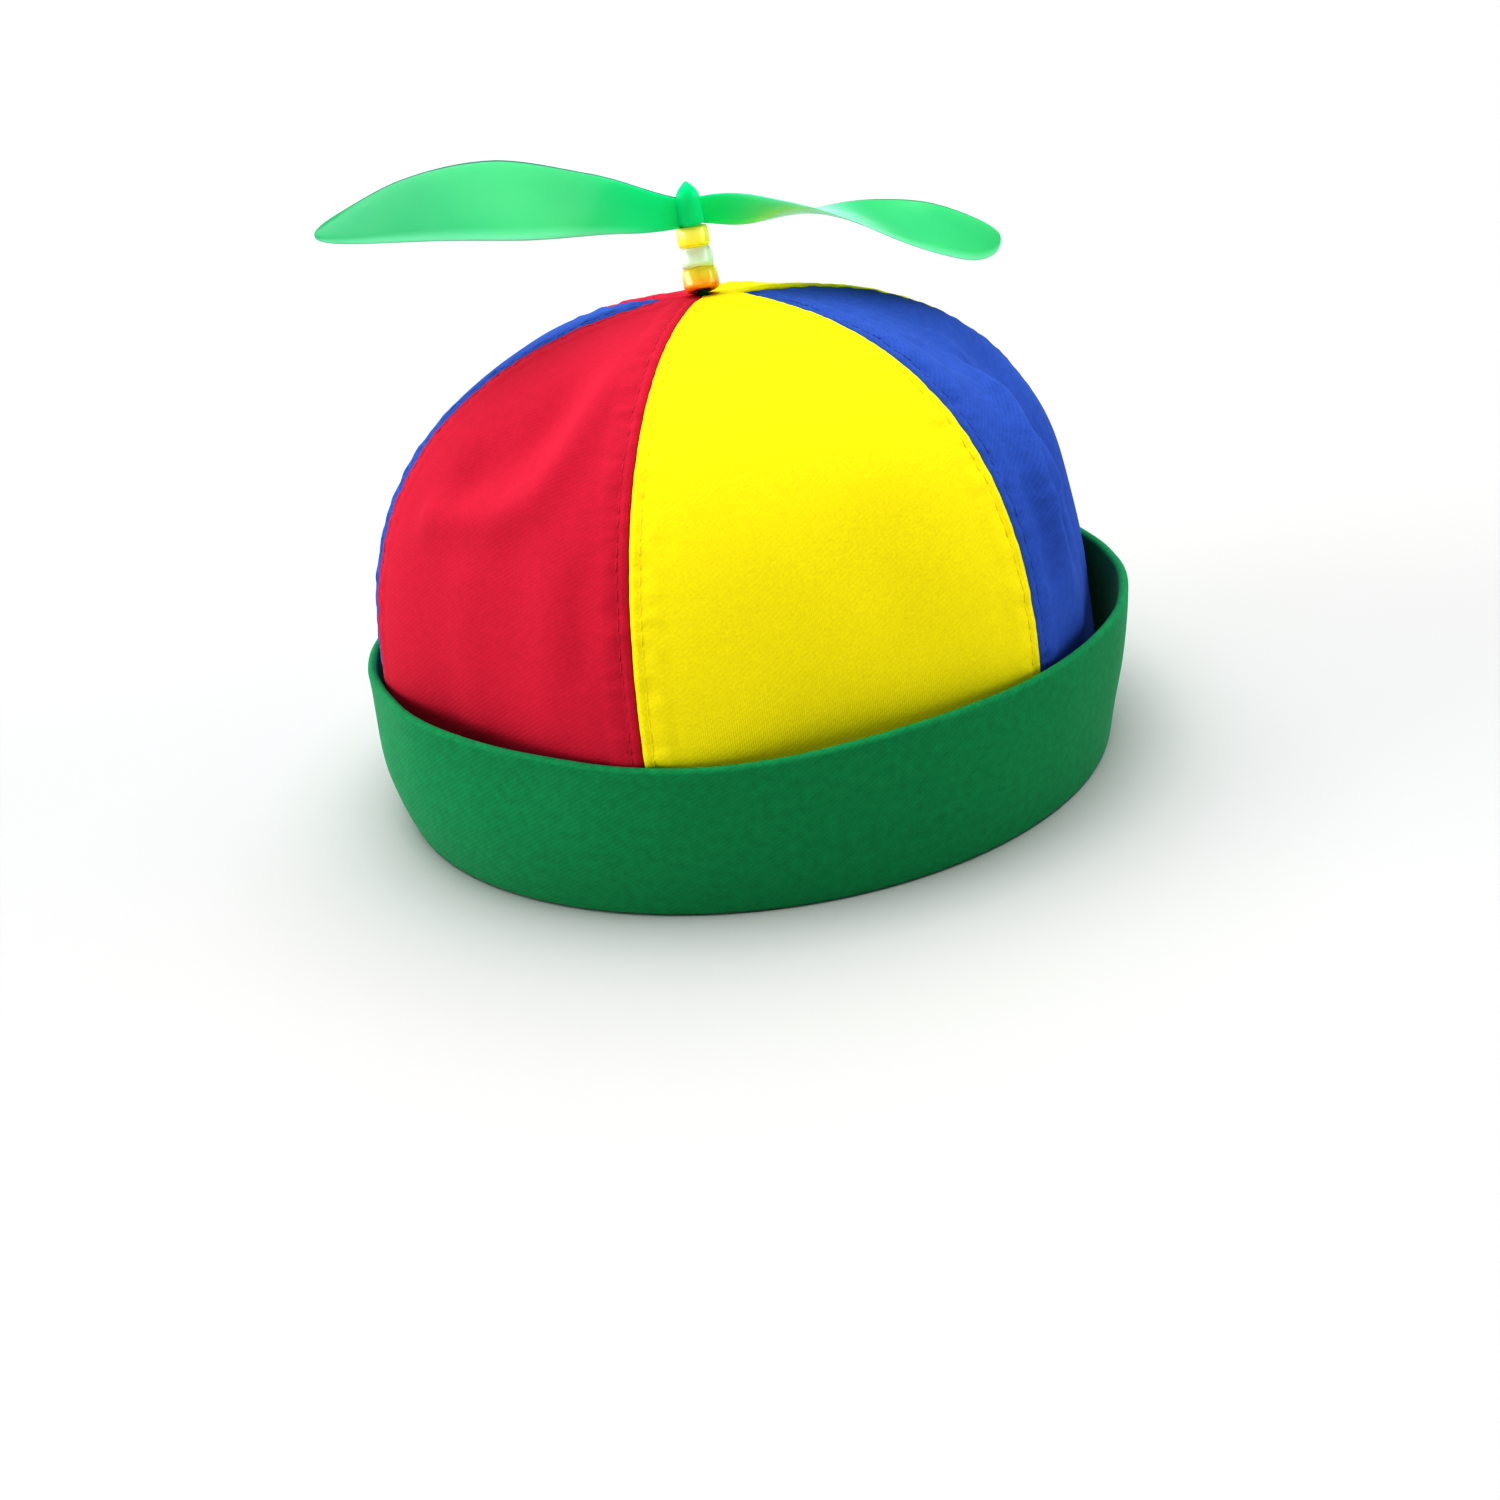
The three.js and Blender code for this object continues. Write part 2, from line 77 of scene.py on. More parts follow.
# Folds and dents: panel, the line that each follows as shares (across from the left seam, up from
# the foot), lift outwards in millimetres, spread in millimetres.
FOLDS = (
    ("blue_right", ((0.10, 0.86), (0.27, 0.34)), 0.8, 7.3),
    ("blue_right", ((0.46, 0.84), (0.68, 0.50)), -2.4, 13.4),
    ("blue_right", ((0.70, 0.80), (0.62, 0.68), (0.60, 0.46)), -3.8, 9.5),
    ("blue_right", ((0.40, 0.97), (0.75, 0.93)), 0.3, 9.8),
    ("blue_right", ((0.80, 0.93), (0.86, 0.86)), 0.8, 7.0),
    ("blue_right", ((0.50, 0.87), (0.36, 0.79), (0.23, 0.72), (0.16, 0.65), (0.16, 0.57),
                    (0.25, 0.38)), 3.8, 4.0),
    ("blue_right", ((0.60, 0.85), (0.46, 0.77), (0.32, 0.69), (0.27, 0.61), (0.29, 0.53),
                    (0.38, 0.38)), -5.0, 3.9),
    ("blue_right", ((0.56, 0.80), (0.44, 0.70), (0.40, 0.62), (0.42, 0.54)), 1.6, 3.2),
    ("blue_right", ((0.60, 0.90), (0.52, 0.84)), 1.0, 4.0),
    ("blue_right", ((0.30, 0.91), (0.22, 0.84)), -0.8, 4.0),
    ("blue_right", ((0.13, 0.64), (0.10, 0.56)), 0.9, 2.4),
    ("blue_right", ((0.08, 0.54), (0.12, 0.44)), -0.8, 3.0),
    ("red_front", ((0.39, 0.79), (0.53, 0.82), (0.60, 0.87)), -2.3, 6.6),
    ("red_front", ((0.28, 0.71), (0.40, 0.715), (0.54, 0.72), (0.69, 0.766), (0.76, 0.83),
                   (0.80, 0.90)), 1.8, 4.8),
    ("red_front", ((0.47, 0.60), (0.50, 0.36)), 0.9, 7.0),
    ("red_front", ((0.65, 0.68), (0.67, 0.50)), -0.5, 5.5),
    ("red_front", ((0.78, 0.62), (0.76, 0.38)), 0.35, 4.6),
    ("red_front", ((0.88, 0.70), (0.88, 0.44)), -0.7, 4.0),
    ("blue_left", ((0.40, 0.95), (0.60, 0.97)), 0.4, 9.8),
    ("blue_left", ((0.72, 0.32), (0.82, 0.50)), 1.6, 15.9),
    ("blue_left", ((0.90, 0.90), (0.75, 0.66)), -0.15, 14.0),
    ("red_back", ((0.30, 0.50), (0.50, 0.80)), -2.2, 11.0),
    ("red_back", ((0.62, 0.86), (0.40, 0.62), (0.38, 0.40)), 1.8, 6.0),
    ("yellow_back", ((0.60, 0.45), (0.70, 0.70)), -2.0, 11.0),
    ("yellow_back", ((0.30, 0.80), (0.42, 0.55), (0.40, 0.36)), 1.6, 6.4),
    ("yellow_front", ((0.75, 0.36), (0.60, 0.60)), -0.8, 12.2),
)

# Folds with less spread than this die out towards their ends.
CRISP = 4.5

# How much a cloth's ribs, its mottled grain and its fuzz show.
GRAINS = {
    "yellow": (0.04, 0.12, 0.03),
    "red": (0.07, 0.2, 0.03),
    "blue": (0.14, 0.45, 0.03),
    "green": (0.16, 0.6, 0.25),
}

# How proud a panel's edge lies over its neighbour's, in millimetres.
EDGE_LIFT = {"yellow": 0.34, "red": 0.0, "blue": -0.3}

# Where the cuff's outer wall swells out: direction and width in degrees, up and spread as shares
# of its height, lift in millimetres.
SWELLS = (
    (200, 44, 0.40, 0.42, 2.76),
    (203, 11, 1.00, 0.45, -1.60),
    (236, 22, 1.00, 0.35, -2.30),
    (300, 34, 1.00, 0.35, -1.20),
    (38, 15, 1.00, 0.50, 0.90),
    (-16, 45, 0.90, 0.50, 1.20),
    (95, 30, 0.60, 0.50, 0.72),
)

# Where the rim stands higher or lower: direction and width in degrees, lift in millimetres.
RIM_LIFTS = ((214, 18, 2.0), (262, 20, -1.8), (30, 14, 0.8))

# Blade sections from the boss to the tip: chord and lead as shares, pitch in degrees, and rise as
# a share of the reach. Turn is in degrees about the axis of spin, reach is a share of the size.
BLADE_SECTIONS = (
    (0, 0.975, ((0.22, 0.54, 89, 0), (0.60, 0.53, 34, -0.052), (0.99, 0.61, 2, -0.113),
                (0.95, 0.63, -20, -0.190), (0.72, 0.56, -40, -0.292))),
    (180, 1.03, ((0.25, 0.47, 86, 0), (0.60, 0.54, 46, 0.068), (0.99, 0.61, 28, 0.115),
                 (0.95, 0.63, 19, 0.143), (0.72, 0.56, 12, 0.151))),
)

# Beads from the crown up: colour, how strongly its colour is darkened towards the foot as a painted
# shade, size, and how far the bead leans back on the stem in degrees.
BEADS = (("orange", 8, 1.1, -25), ("pale_green", 2, 1.0, -25), ("yellow", 2, 0.98, -17))


def smooth(low, high, value):
    share = min(max((value - low) / (high - low), 0.0), 1.0)
    return share * share * (3 - 2 * share)


def mix(low, high, share):
    return low + (high - low) * share


def bell(distance, spread):
    return math.exp(-((distance / spread) ** 2))


def length_prop(name, description, default):
    return bpy.props.FloatProperty(name=name, description=description, default=default, min=0.0)


def colour_prop(name, description, default):
    return bpy.props.FloatVectorProperty(
        name=name, description=description, default=default, subtype="COLOR", min=0.0, max=1.0)


def strength_prop(name, description, default):
    return bpy.props.FloatProperty(
        name=name, description="Strength " + description[0].lower() + description[1:],
        default=default, min=0.0)


class BeanieCrownSizes(bpy.types.PropertyGroup):
    """Sizes of the crown, in millimetres."""

    height: length_prop("Height", "From the table to the top of the crown", 122)
    radius: length_prop("Radius", "Of the crown at its foot", 93.7)
    foot: length_prop("Foot", "Height of the cloth's lower edge", 2.7)
    hole: length_prop("Hole", "Radius of the hole for the post", 2.0)
    height_power: bpy.props.FloatProperty(
        name="Height power", description="How square the dome's side is", default=3.6)
    radius_power: bpy.props.FloatProperty(
        name="Radius power", description="How square the dome's top is", default=2.2)
    seam_rise: length_prop("Seam rise", "How proud the seams stand", 2.6)
    cloth: length_prop("Cloth", "Thickness of the cloth", 0.7)
    seam_roll: length_prop("Seam roll", "Radius of the cloth's turn at a seam", 0.75)
    allowance: length_prop("Allowance", "Width of the cloth turned in at a seam", 6.0)
    stitch_inset: length_prop("Stitch inset", "From a seam to its topstitching", 2.6)
    stitch_pitch: length_prop("Stitch pitch", "From one stitch to the next", 3.1)
    thread: length_prop("Thread", "Thickness of the sewing thread", 0.32)


class BeanieCuffSizes(bpy.types.PropertyGroup):
    """Sizes of the cuff, in millimetres."""

    height: length_prop("Height", "Of the turned-up band", 41)
    foot_radius: length_prop("Foot radius", "Of the band's outer fold", 96.4)
    flare: length_prop("Flare", "How much wider the rim is than the foot", 3.6)
    wall: length_prop("Wall", "Thickness of the doubled band", 2.4)
    bulge: length_prop("Bulge", "Of the band between its foot and its rim", 0.9)
    hem: length_prop("Hem", "Height of the band's inner edge", 12)
    cloth: length_prop("Cloth", "Thickness of the cloth", 1.1)
    oval: length_prop("Oval", "How much longer each end of the head opening is", 2.6)


class BeanieStemSizes(bpy.types.PropertyGroup):
    """Sizes of the beads and the propeller, in millimetres."""

    bead_radius: length_prop("Bead radius", "Of a bead at its middle", 4.1)
    bead_height: length_prop("Bead height", "Of one bead", 5.1)
    bead_hole: length_prop("Bead hole", "Radius of a bead's hole", 1.8)
    boss_height: length_prop("Boss height", "Of the propeller's middle", 10.4)
    boss_radius: length_prop("Boss radius", "Of the propeller's middle at its foot", 3.5)
    reach: length_prop("Reach", "From the axis of spin to a blade's tip", 84)
    chord: length_prop("Chord", "Width of a blade at its widest", 26)
    blade: length_prop("Blade", "Thickness of a blade in its middle", 1.1)
    edge: length_prop("Edge", "Thickness of a blade at its edges", 0.45)


class BeanieColours(bpy.types.PropertyGroup):
    """Colours of the cloth and the plastics, in linear light."""

    red: colour_prop("Red", "Of the red panels", (0.54, 0.038, 0.078))
    yellow: colour_prop("Yellow", "Of the yellow panels", (0.86, 0.74, 0.024))
    blue: colour_prop("Blue", "Of the blue panels", (0.064, 0.138, 0.45))
    green: colour_prop("Green", "Of the cuff", (0.026, 0.268, 0.116))
    bead_orange: colour_prop("Orange bead", "Of the lowest bead", (1.0, 0.86, 0.13))
    bead_pale_green: colour_prop("Pale bead", "Of the middle bead", (0.83, 1.0, 0.84))
    bead_yellow: colour_prop("Yellow bead", "Of the highest bead", (1.0, 0.98, 0.2))
    plastic: colour_prop("Propeller", "Of the propeller and its post", (0.02, 0.8, 0.34))
    # Painted shade: a dark line along one edge of each blade.
    rim_shade: colour_prop("Rims", "Of the blades' edges", (0.004, 0.14, 0.07))
    blades: colour_prop("Blades", "Of the thin blades", (0.075, 0.56, 0.25))
    left_tip: colour_prop("Left tip", "Of the left blade's end", (0.014, 0.37, 0.17))
    # Painted highlight: paler mint at the right blade's glossy root.
    right_root_highlight: colour_prop("Right root", "Of the right blade's start", (0.2, 0.8, 0.62))


class BeanieStudio(bpy.types.PropertyGroup):
    """Floor, camera and light of the studio."""

    floor: colour_prop("Floor", "Of the plain floor", (0.565, 0.565, 0.565))
    lens: bpy.props.FloatProperty(
        name="Lens", description="Focal length of the camera", default=33.42, unit="CAMERA")
    horizon: strength_prop("Horizon", "Of the even light low down", 0.66)
    zenith: strength_prop("Zenith", "Of the even light high up", 0.09)
    top: strength_prop("Top", "Of the light above", 2.6)
    left: strength_prop("Left", "Of the light on the left", 1.9)
    right: strength_prop("Right", "Of the light on the right", 0.8)


# Materials


class Nodes:
    """A material's nodes, made one after the other."""

    def __init__(self, name):
        self.material = bpy.data.materials.new(name)
        self.material.use_nodes = True
        self.tree = self.material.node_tree
        self.shader = self.tree.nodes["Principled BSDF"]

    def add(self, kind, inputs=None, **settings):
        node = self.tree.nodes.new(kind)
        for key, value in settings.items():
            setattr(node, key, value)
        for key, value in (inputs or {}).items():
            self.put(node, key, value)
        return node

    def put(self, node, key, value):
        if isinstance(value, bpy.types.NodeSocket):
            self.tree.links.new(value, node.inputs[key])
        else:
            node.inputs[key].default_value = value

    def shade(self, **inputs):
        for key, value in inputs.items():
            self.put(self.shader, key.replace("_", " "), value)

    def maths(self, operation, first, second=0.0):
        node = self.add("ShaderNodeMath", {0: first, 1: second}, operation=operation)
        return node.outputs[0]

    def blend(self, factor, first, second):
        node = self.add("ShaderNodeMix", data_type="RGBA")
        self.put(node, 0, factor)
        self.put(node, 6, first)
        self.put(node, 7, second)
        return node.outputs[2]

    def noise(self, vector, scale, detail=2.0, roughness=0.5):
        inputs = {"Vector": vector, "Scale": scale, "Detail": detail, "Roughness": roughness}
        return self.add("ShaderNodeTexNoise", inputs).outputs[0]

    def waves(self, vector, scale, distortion, detail, **settings):
        inputs = {"Vector": vector, "Scale": scale, "Distortion": distortion, "Detail": detail}
        return self.add("ShaderNodeTexWave", inputs, **settings)

    def bump(self, height, strength, distance):
        """Fine relief; the distance is in millimetres."""
        inputs = {"Strength": strength, "Distance": distance * MM, "Height": height}
        return self.add("ShaderNodeBump", inputs).outputs[0]

    def ramp(self, value, low, high):
        """From 0 at the low value to 1 at the high one."""
        inputs = {"Value": value, "From Min": low, "From Max": high}
        node = self.add("ShaderNodeMapRange", inputs, interpolation_type="SMOOTHSTEP")
        return node.outputs[0]

    def between(self, value, low, high):
        """Spreads a value of 0 to 1 from low to high."""
        inputs = {"Value": value, "To Min": low, "To Max": high}
        return self.add("ShaderNodeMapRange", inputs).outputs[0]


def opaque(colour, factor=1.0):
    return tuple(min(part * factor, 1.0) for part in colour) + (1.0,)


RIB_PITCH = 0.95
RIB_SLANT = -32
YARNS_PER_RIB = 1.9


def twill(name, colour, ribbed, grain, fuzzy):
    """Cotton twill: slanting ribs of short floats, a soft fuzz and a little uneven dye."""
    nodes = Nodes(name)
    cloth = nodes.add("ShaderNodeUVMap", uv_map=CLOTH_UV).outputs[0]
    turn = (0, 0, math.radians(RIB_SLANT))
    slanted = nodes.add("ShaderNodeMapping", {"Vector": cloth, "Rotation": turn}).outputs[0]
    # A wave texture of scale 1 has its bands pi / 10 apart.
    wave_scale = math.pi / 10 / (RIB_PITCH * MM)
    ribs = nodes.waves(slanted, wave_scale, 1.3, 2.0, bands_direction="Y")
    nodes.put(ribs, "Detail Scale", 1.4)
    yarns = nodes.waves(cloth, wave_scale * YARNS_PER_RIB, 1.2, 1.0)
    weave = nodes.maths("MULTIPLY_ADD", yarns.outputs[1], 0.35)
    nodes.put(weave.node, 2, nodes.maths("MULTIPLY", ribs.outputs[1], 0.65))
    fuzz = nodes.noise(cloth, 1300, 3.0, 0.7)
    mottle = nodes.noise(cloth, 420, 3.0, 0.6)
    dye = nodes.noise(cloth, 45, 3.0)
    tone = nodes.between(weave, -ribbed, ribbed)
    for part, low, high in (
            (fuzz, -0.35, 0.35), (mottle, 0.5 - grain, 0.5 + grain), (dye, -0.12, 0.12)):
        tone = nodes.maths("ADD", tone, nodes.between(part, low, high))
    tinted = nodes.blend(tone, opaque(colour, 0.8), opaque(colour, 1.2))
    relief = nodes.maths("MULTIPLY", weave, 0.7)
    relief = nodes.maths("ADD", relief, nodes.maths("MULTIPLY", fuzz, 0.6))
    nodes.shade(
        Base_Color=tinted, Roughness=nodes.between(fuzz, 0.82, 1.0),
        Normal=nodes.bump(relief, 0.4, 0.08), Sheen_Weight=fuzzy, Sheen_Roughness=0.4,
        Specular_IOR_Level=0.12)
    nodes.put(nodes.shader, "Sheen Tint", opaque([mix(part, 1, 0.4) for part in colour]))
    return nodes.material


def sewing_thread(name, colour):
    """Twisted cotton thread, painted a little darker than its cloth as shade."""
    nodes = Nodes(name)
    place = nodes.add("ShaderNodeTexCoord").outputs["Object"]
    strands = nodes.noise(place, 2600, 2.0)
    nodes.shade(
        # Painted shade: the thread's colour sits a little darker than its cloth's.
        Base_Color=nodes.blend(strands, opaque(colour, 0.85), opaque(colour, 1.1)),
        Roughness=nodes.between(strands, 0.6, 0.8), Normal=nodes.bump(strands, 0.5, 0.1))
    return nodes.material


# How far light goes into the plastics, in millimetres.
GLOW_DEPTH = 1.5


def glossy_bead(name, colour, foot_shade_power, foot, top):
    """Moulded plastic with a soft glow, painted darker towards its foot as shade and lighter at its
    top.
    """
    nodes = Nodes(name)
    place = nodes.add("ShaderNodeTexCoord").outputs["Object"]
    height = nodes.add("ShaderNodeSeparateXYZ", {0: place}).outputs[2]
    cloud = nodes.noise(place, 420, 3.0)
    waves = nodes.noise(place, 500, 1.0)
    # Painted shade: the colour darkened towards the bead's foot, lighter at its top.
    deep = [part ** foot_shade_power for part in colour]
    mixed = nodes.ramp(height, foot * MM, top * MM)
    mixed = nodes.maths("ADD", mixed, nodes.between(cloud, -0.4, 0.4))
    nodes.shade(
        Base_Color=nodes.blend(mixed, opaque(deep), opaque(colour)),
        Roughness=nodes.between(waves, 0.12, 0.24), Coat_Weight=0.5, Coat_Roughness=0.06,
        Subsurface_Weight=0.4, Subsurface_Scale=GLOW_DEPTH * MM, Subsurface_Radius=(1, 1, 1),
        Normal=nodes.bump(waves, 0.1, 0.1))
    return nodes.material


# Painted highlight: pale milky colour along the blades' other edge.
EDGE_HIGHLIGHT = (0.4, 0.85, 0.6)
YELLOWISH = (0.3, 0.8, 0.3)


def soft_plastic(name, deep, rim_shade, blades, left_tip, right_root_highlight):
    """Milky coloured plastic: deep where it is thick, paler in the thin blades, with painted shade
    at one rim, a painted highlight at the other, and a painted highlight at the right blade's root.

    The blades' flat places hold the share of the reach, below 0 on the left, and the side from -1
    at the painted dark rim to 1 at the painted milky highlight."""
    nodes = Nodes(name)
    place = nodes.add("ShaderNodeTexCoord").outputs["Object"]
    cloud = nodes.noise(place, 45, 2.0)
    flat = nodes.add("ShaderNodeUVMap", uv_map=CLOTH_UV).outputs[0]
    blade = nodes.add("ShaderNodeSeparateXYZ", {0: flat})
    along, side = blade.outputs[0], blade.outputs[1]
    left = nodes.blend(nodes.ramp(along, -0.4, -0.85), opaque(blades), opaque(left_tip))
    # Painted highlight: paler mint at the right blade's root.
    right = nodes.blend(nodes.ramp(along, 0.6, 0.3), opaque(blades), opaque(right_root_highlight))
    tone = nodes.blend(nodes.ramp(along, -0.1, 0.1), left, right)
    tone = nodes.blend(cloud, tone, nodes.blend(0.2, tone, opaque(YELLOWISH)))
    # Painted highlight: the blades turn milky towards one edge.
    paler = nodes.maths("MULTIPLY", nodes.ramp(side, 0.65, 1.0), 0.35)
    tone = nodes.blend(paler, tone, opaque(EDGE_HIGHLIGHT))
    thin = nodes.ramp(nodes.maths("ABSOLUTE", along), 0.03, 0.34)
    tone = nodes.blend(thin, opaque(deep), tone)
    # Painted shade: the rim colour darkens one edge of each blade.
    nodes.shade(
        Base_Color=nodes.blend(nodes.ramp(side, -0.93, -0.975), tone, opaque(rim_shade)),
        Roughness=nodes.between(cloud, 0.16, 0.24), Specular_IOR_Level=0.15,
        Subsurface_Weight=0.5, Subsurface_Scale=GLOW_DEPTH * MM, Subsurface_Radius=(1, 1, 1))
    return nodes.material


# Meshes


def finished(name, shape, material, body, nodes=()):
    """Makes a piece of a bmesh in millimetres, and lets it ride on a body in place of its nodes."""
    bmesh.ops.scale(shape, vec=(MM, MM, MM), verts=shape.verts)
    mesh = bpy.data.meshes.new(name)
    shape.to_mesh(mesh)
    shape.free()
    mesh.materials.append(material)
    mesh.shade_smooth()
    piece = bpy.data.objects.new(name, mesh)
    bpy.context.scene.collection.objects.link(piece)
    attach(piece, body)
    if nodes:
        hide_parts(*nodes)
    return piece


def thicken(piece, thickness):
    wall = piece.modifiers.new("wall", "SOLIDIFY")
    wall.thickness = thickness * MM
    wall.offset = -1
    wall.use_quality_normals = True


def woven(columns, rows, place):
    """A grid of cloth. place takes shares across and up, and gives a point and its flat place."""
    shape = bmesh.new()
    bmesh.ops.create_grid(shape, x_segments=columns, y_segments=rows, size=0.5)
    layer = shape.loops.layers.uv.new(CLOTH_UV)
    flat = {}
    for corner in shape.verts:
        point, flat[corner] = place(corner.co.x + 0.5, corner.co.y + 0.5)
        corner.co = point
    for face in shape.faces:
        for loop in face.loops:
            loop[layer].uv = flat[loop.vert]
    return shape


def turned(outline, steps, closed=False):
    """A body turned about Z, from outline points (radius, height)."""
    shape = bmesh.new()
    corners = [shape.verts.new((radius, 0, height)) for radius, height in outline]
    for first, second in zip(corners, corners[1:]):
        shape.edges.new((first, second))
    if closed:
        shape.edges.new((corners[-1], corners[0]))
    bmesh.ops.spin(
        shape, geom=shape.verts[:] + shape.edges[:], cent=(0, 0, 0), axis=(0, 0, 1),
        dvec=(0, 0, 0), angle=2 * math.pi, steps=steps, use_merge=True)
    bmesh.ops.remove_doubles(shape, verts=shape.verts, dist=0.001)
    bmesh.ops.recalc_face_normals(shape, faces=shape.faces)
    return shape


# Crown


OVAL_TURN = math.radians(-5)


def oval(angle):
    """How far the head's oval widens a radius in a direction."""
    sizes = bpy.context.scene.beanie_cuff
    return 1 + sizes.oval / (sizes.foot_radius + sizes.flare) * math.cos(2 * (angle - OVAL_TURN))


class Dome:
    """The crown's outer face."""

    STEPS = 400
    APEX_RIGHT = 1.2
    APEX_BACK = 0.4

    def __init__(self, sizes):
        self.sizes = sizes
        half = math.pi / 2
        foot = math.asin((sizes.foot / sizes.height) ** (sizes.height_power / 2))
        hole = math.acos((sizes.hole / sizes.radius) ** (sizes.radius_power / 2))
        first = (foot / half) ** (2 / sizes.height_power)
        last = (hole / half) ** (2 / sizes.height_power)
        self.points, self.arcs = [], [0.0]
        for step in range(self.STEPS + 1):
            angle = half * mix(first, last, step / self.STEPS) ** (sizes.height_power / 2)
            radius = sizes.radius * math.cos(angle) ** (2 / sizes.radius_power)
            height = sizes.height * math.sin(angle) ** (2 / sizes.height_power)
            self.points.append(Vector((radius, height)))
        for before, after in zip(self.points, self.points[1:]):
            self.arcs.append(self.arcs[-1] + (after - before).length)
        self.length = self.arcs[-1]

    def row(self, along):
        """Radius, height and outward way (radius, height) at a share of the meridian."""
        arc = along * self.length
        step = min(bisect_right(self.arcs, arc), self.STEPS) - 1
        before, after = self.points[step], self.points[step + 1]
        share = (arc - self.arcs[step]) / (self.arcs[step + 1] - self.arcs[step])
        way = (after - before).normalized()
        return before.lerp(after, share), Vector((way.y, -way.x))

    def seam(self, index, radius):
        """Angle of a seam: the blue panels end in points beside the top, between the others."""
        pull, fade = DRAWN_SEAMS.get(index % len(PANELS), (0, 1))
        return FIRST_SEAM + (index + pull / 2 * min(BLUE_TIP / radius, 1.0) ** fade) * PANEL_ANGLE

    def width(self, index, radius):
        return radius * (self.seam(index + 1, radius) - self.seam(index, radius))

    def point(self, index, across, along, lift):
        """Where the cloth is: across and along are shares of a panel, lift is outwards."""
        (face_radius, face_height), out = self.row(along)
        angle = mix(self.seam(index, face_radius), self.seam(index + 1, face_radius), across)
        rise = self.sizes.seam_rise / self.sizes.radius * smooth(12, 41, face_height)
        ridge = 1 + rise * math.cos(len(PANELS) * (angle - FIRST_SEAM))
        radius = face_radius * oval(angle) * ridge + lift * out.x
        height = face_height + lift * out.y
        shift = (height / self.sizes.height) ** 2
        return Vector((
            radius * math.cos(angle) + self.APEX_RIGHT * shift,
            radius * math.sin(angle) + self.APEX_BACK * shift,
            height))


def from_line(here, line):
    """Distance of a place from a line of points, and the share of the line that lies before it."""
    nearest, passed = math.inf, 0.0
    for index, (start, end) in enumerate(zip(line, line[1:])):
        way = end - start
        share = min(max((here - start).dot(way) / way.length_squared, 0.0), 1.0)
        distance = (here - start - way * share).length
        if distance < nearest:
            nearest, passed = distance, (index + share) / (len(line) - 1)
    return nearest, passed


def fold_lift(name, aside, width, height, crown_height):
    """Lift of a panel's cloth from the table of folds."""
    lift = 0.0
    here = Vector((aside, height))
    for panel, line, most, spread in FOLDS:
        if panel == name:
            places = [Vector((across * width, up * crown_height)) for across, up in line]
            distance, passed = from_line(here, places)
            if spread < CRISP:
                most *= smooth(0, 0.25, passed) * (1 - smooth(0.7, 1, passed))
            lift += most * bell(distance, spread)
    return lift


SEAM_PADDING = 0.32
STITCH_DIP = 0.16
PUCKER = 0.42


def seam_lift(sizes, gap, arc, seed):
    """Lift of the cloth beside a seam: padded by the allowance, pulled in along the stitches."""
    beyond = smooth(sizes.allowance - 0.5, sizes.allowance + 2.5, gap)
    padding = SEAM_PADDING * smooth(0.3, 1.3, gap) * (1 - beyond)
    dip = -STITCH_DIP * bell(gap - sizes.stitch_inset, 0.75)
    pull = noise.noise((arc / 3.4, gap / 9.0, seed))
    pull += 0.6 * noise.noise((arc / 1.9, gap / 5.0, seed + 9))
    pucker = PUCKER * pull * bell(gap - 3.4, 3.6)
    return padding + dip + pucker


WANDER = 0.35


def cloth_lift(dome, index, aside, along):
    """How far a panel's cloth stands off the plain dome."""
    sizes = dome.sizes
    (radius, height), _ = dome.row(along)
    width = dome.width(index, radius)
    gap = min(aside, width - aside)
    side = index if aside < width / 2 else index + 1
    fade = smooth(0, 0.16, gap / width) * smooth(9.4, 21, radius)
    arc = along * dome.length
    wander = WANDER * noise.noise((aside / 26, arc / 34, index * 7.3))
    name, colour = PANELS[index]
    lift = fold_lift(name, aside, width, height, sizes.height) * fade
    lift += EDGE_LIFT[colour] * bell(gap, 2.4) * smooth(4, 12, radius)
    seed = side % len(PANELS) * 3.1 + (0 if aside < width / 2 else 50)
    seam = seam_lift(sizes, gap, arc, seed)
    return lift + seam * smooth(12, 30, height) * smooth(4, 12, radius) + wander * fade


ROLL_STEPS = 6
ALLOWANCE_STEPS = 3
PANEL_COLUMNS = 84
PANEL_ROWS = 210
# How much the columns crowd towards the seams.
CROWDING = 0.6
# How far each edge stands off the seam's line.
SEAM_GAP = 0.02


def edge_profile(sizes, width):
    """From the allowance's free edge to the flat cloth: (from the seam, depth, cloth width)."""
    roll = min(sizes.seam_roll, width * 0.12)
    allowance = min(sizes.allowance, width * 0.3)
    profile = []
    for step in range(ALLOWANCE_STEPS):
        left = allowance * (1 - step / ALLOWANCE_STEPS)
        profile.append((roll + left, 2 * roll, -math.pi * roll - left))
    for step in range(ROLL_STEPS + 1):
        turn = math.pi * (1 - step / ROLL_STEPS)
        profile.append((roll - roll * math.sin(turn), roll - roll * math.cos(turn), -turn * roll))
    return profile


def panel_end(dome, index):
    """Share of the meridian where a panel ends: the blue ones stop short of the top."""
    if PANELS[index][1] != "blue":
        return 1.0
    tip = BLUE_TIP + BLUE_TIP_GAP
    return next(step / dome.STEPS for step in range(dome.STEPS, 0, -1)
                if dome.row(step / dome.STEPS)[0].x > tip)


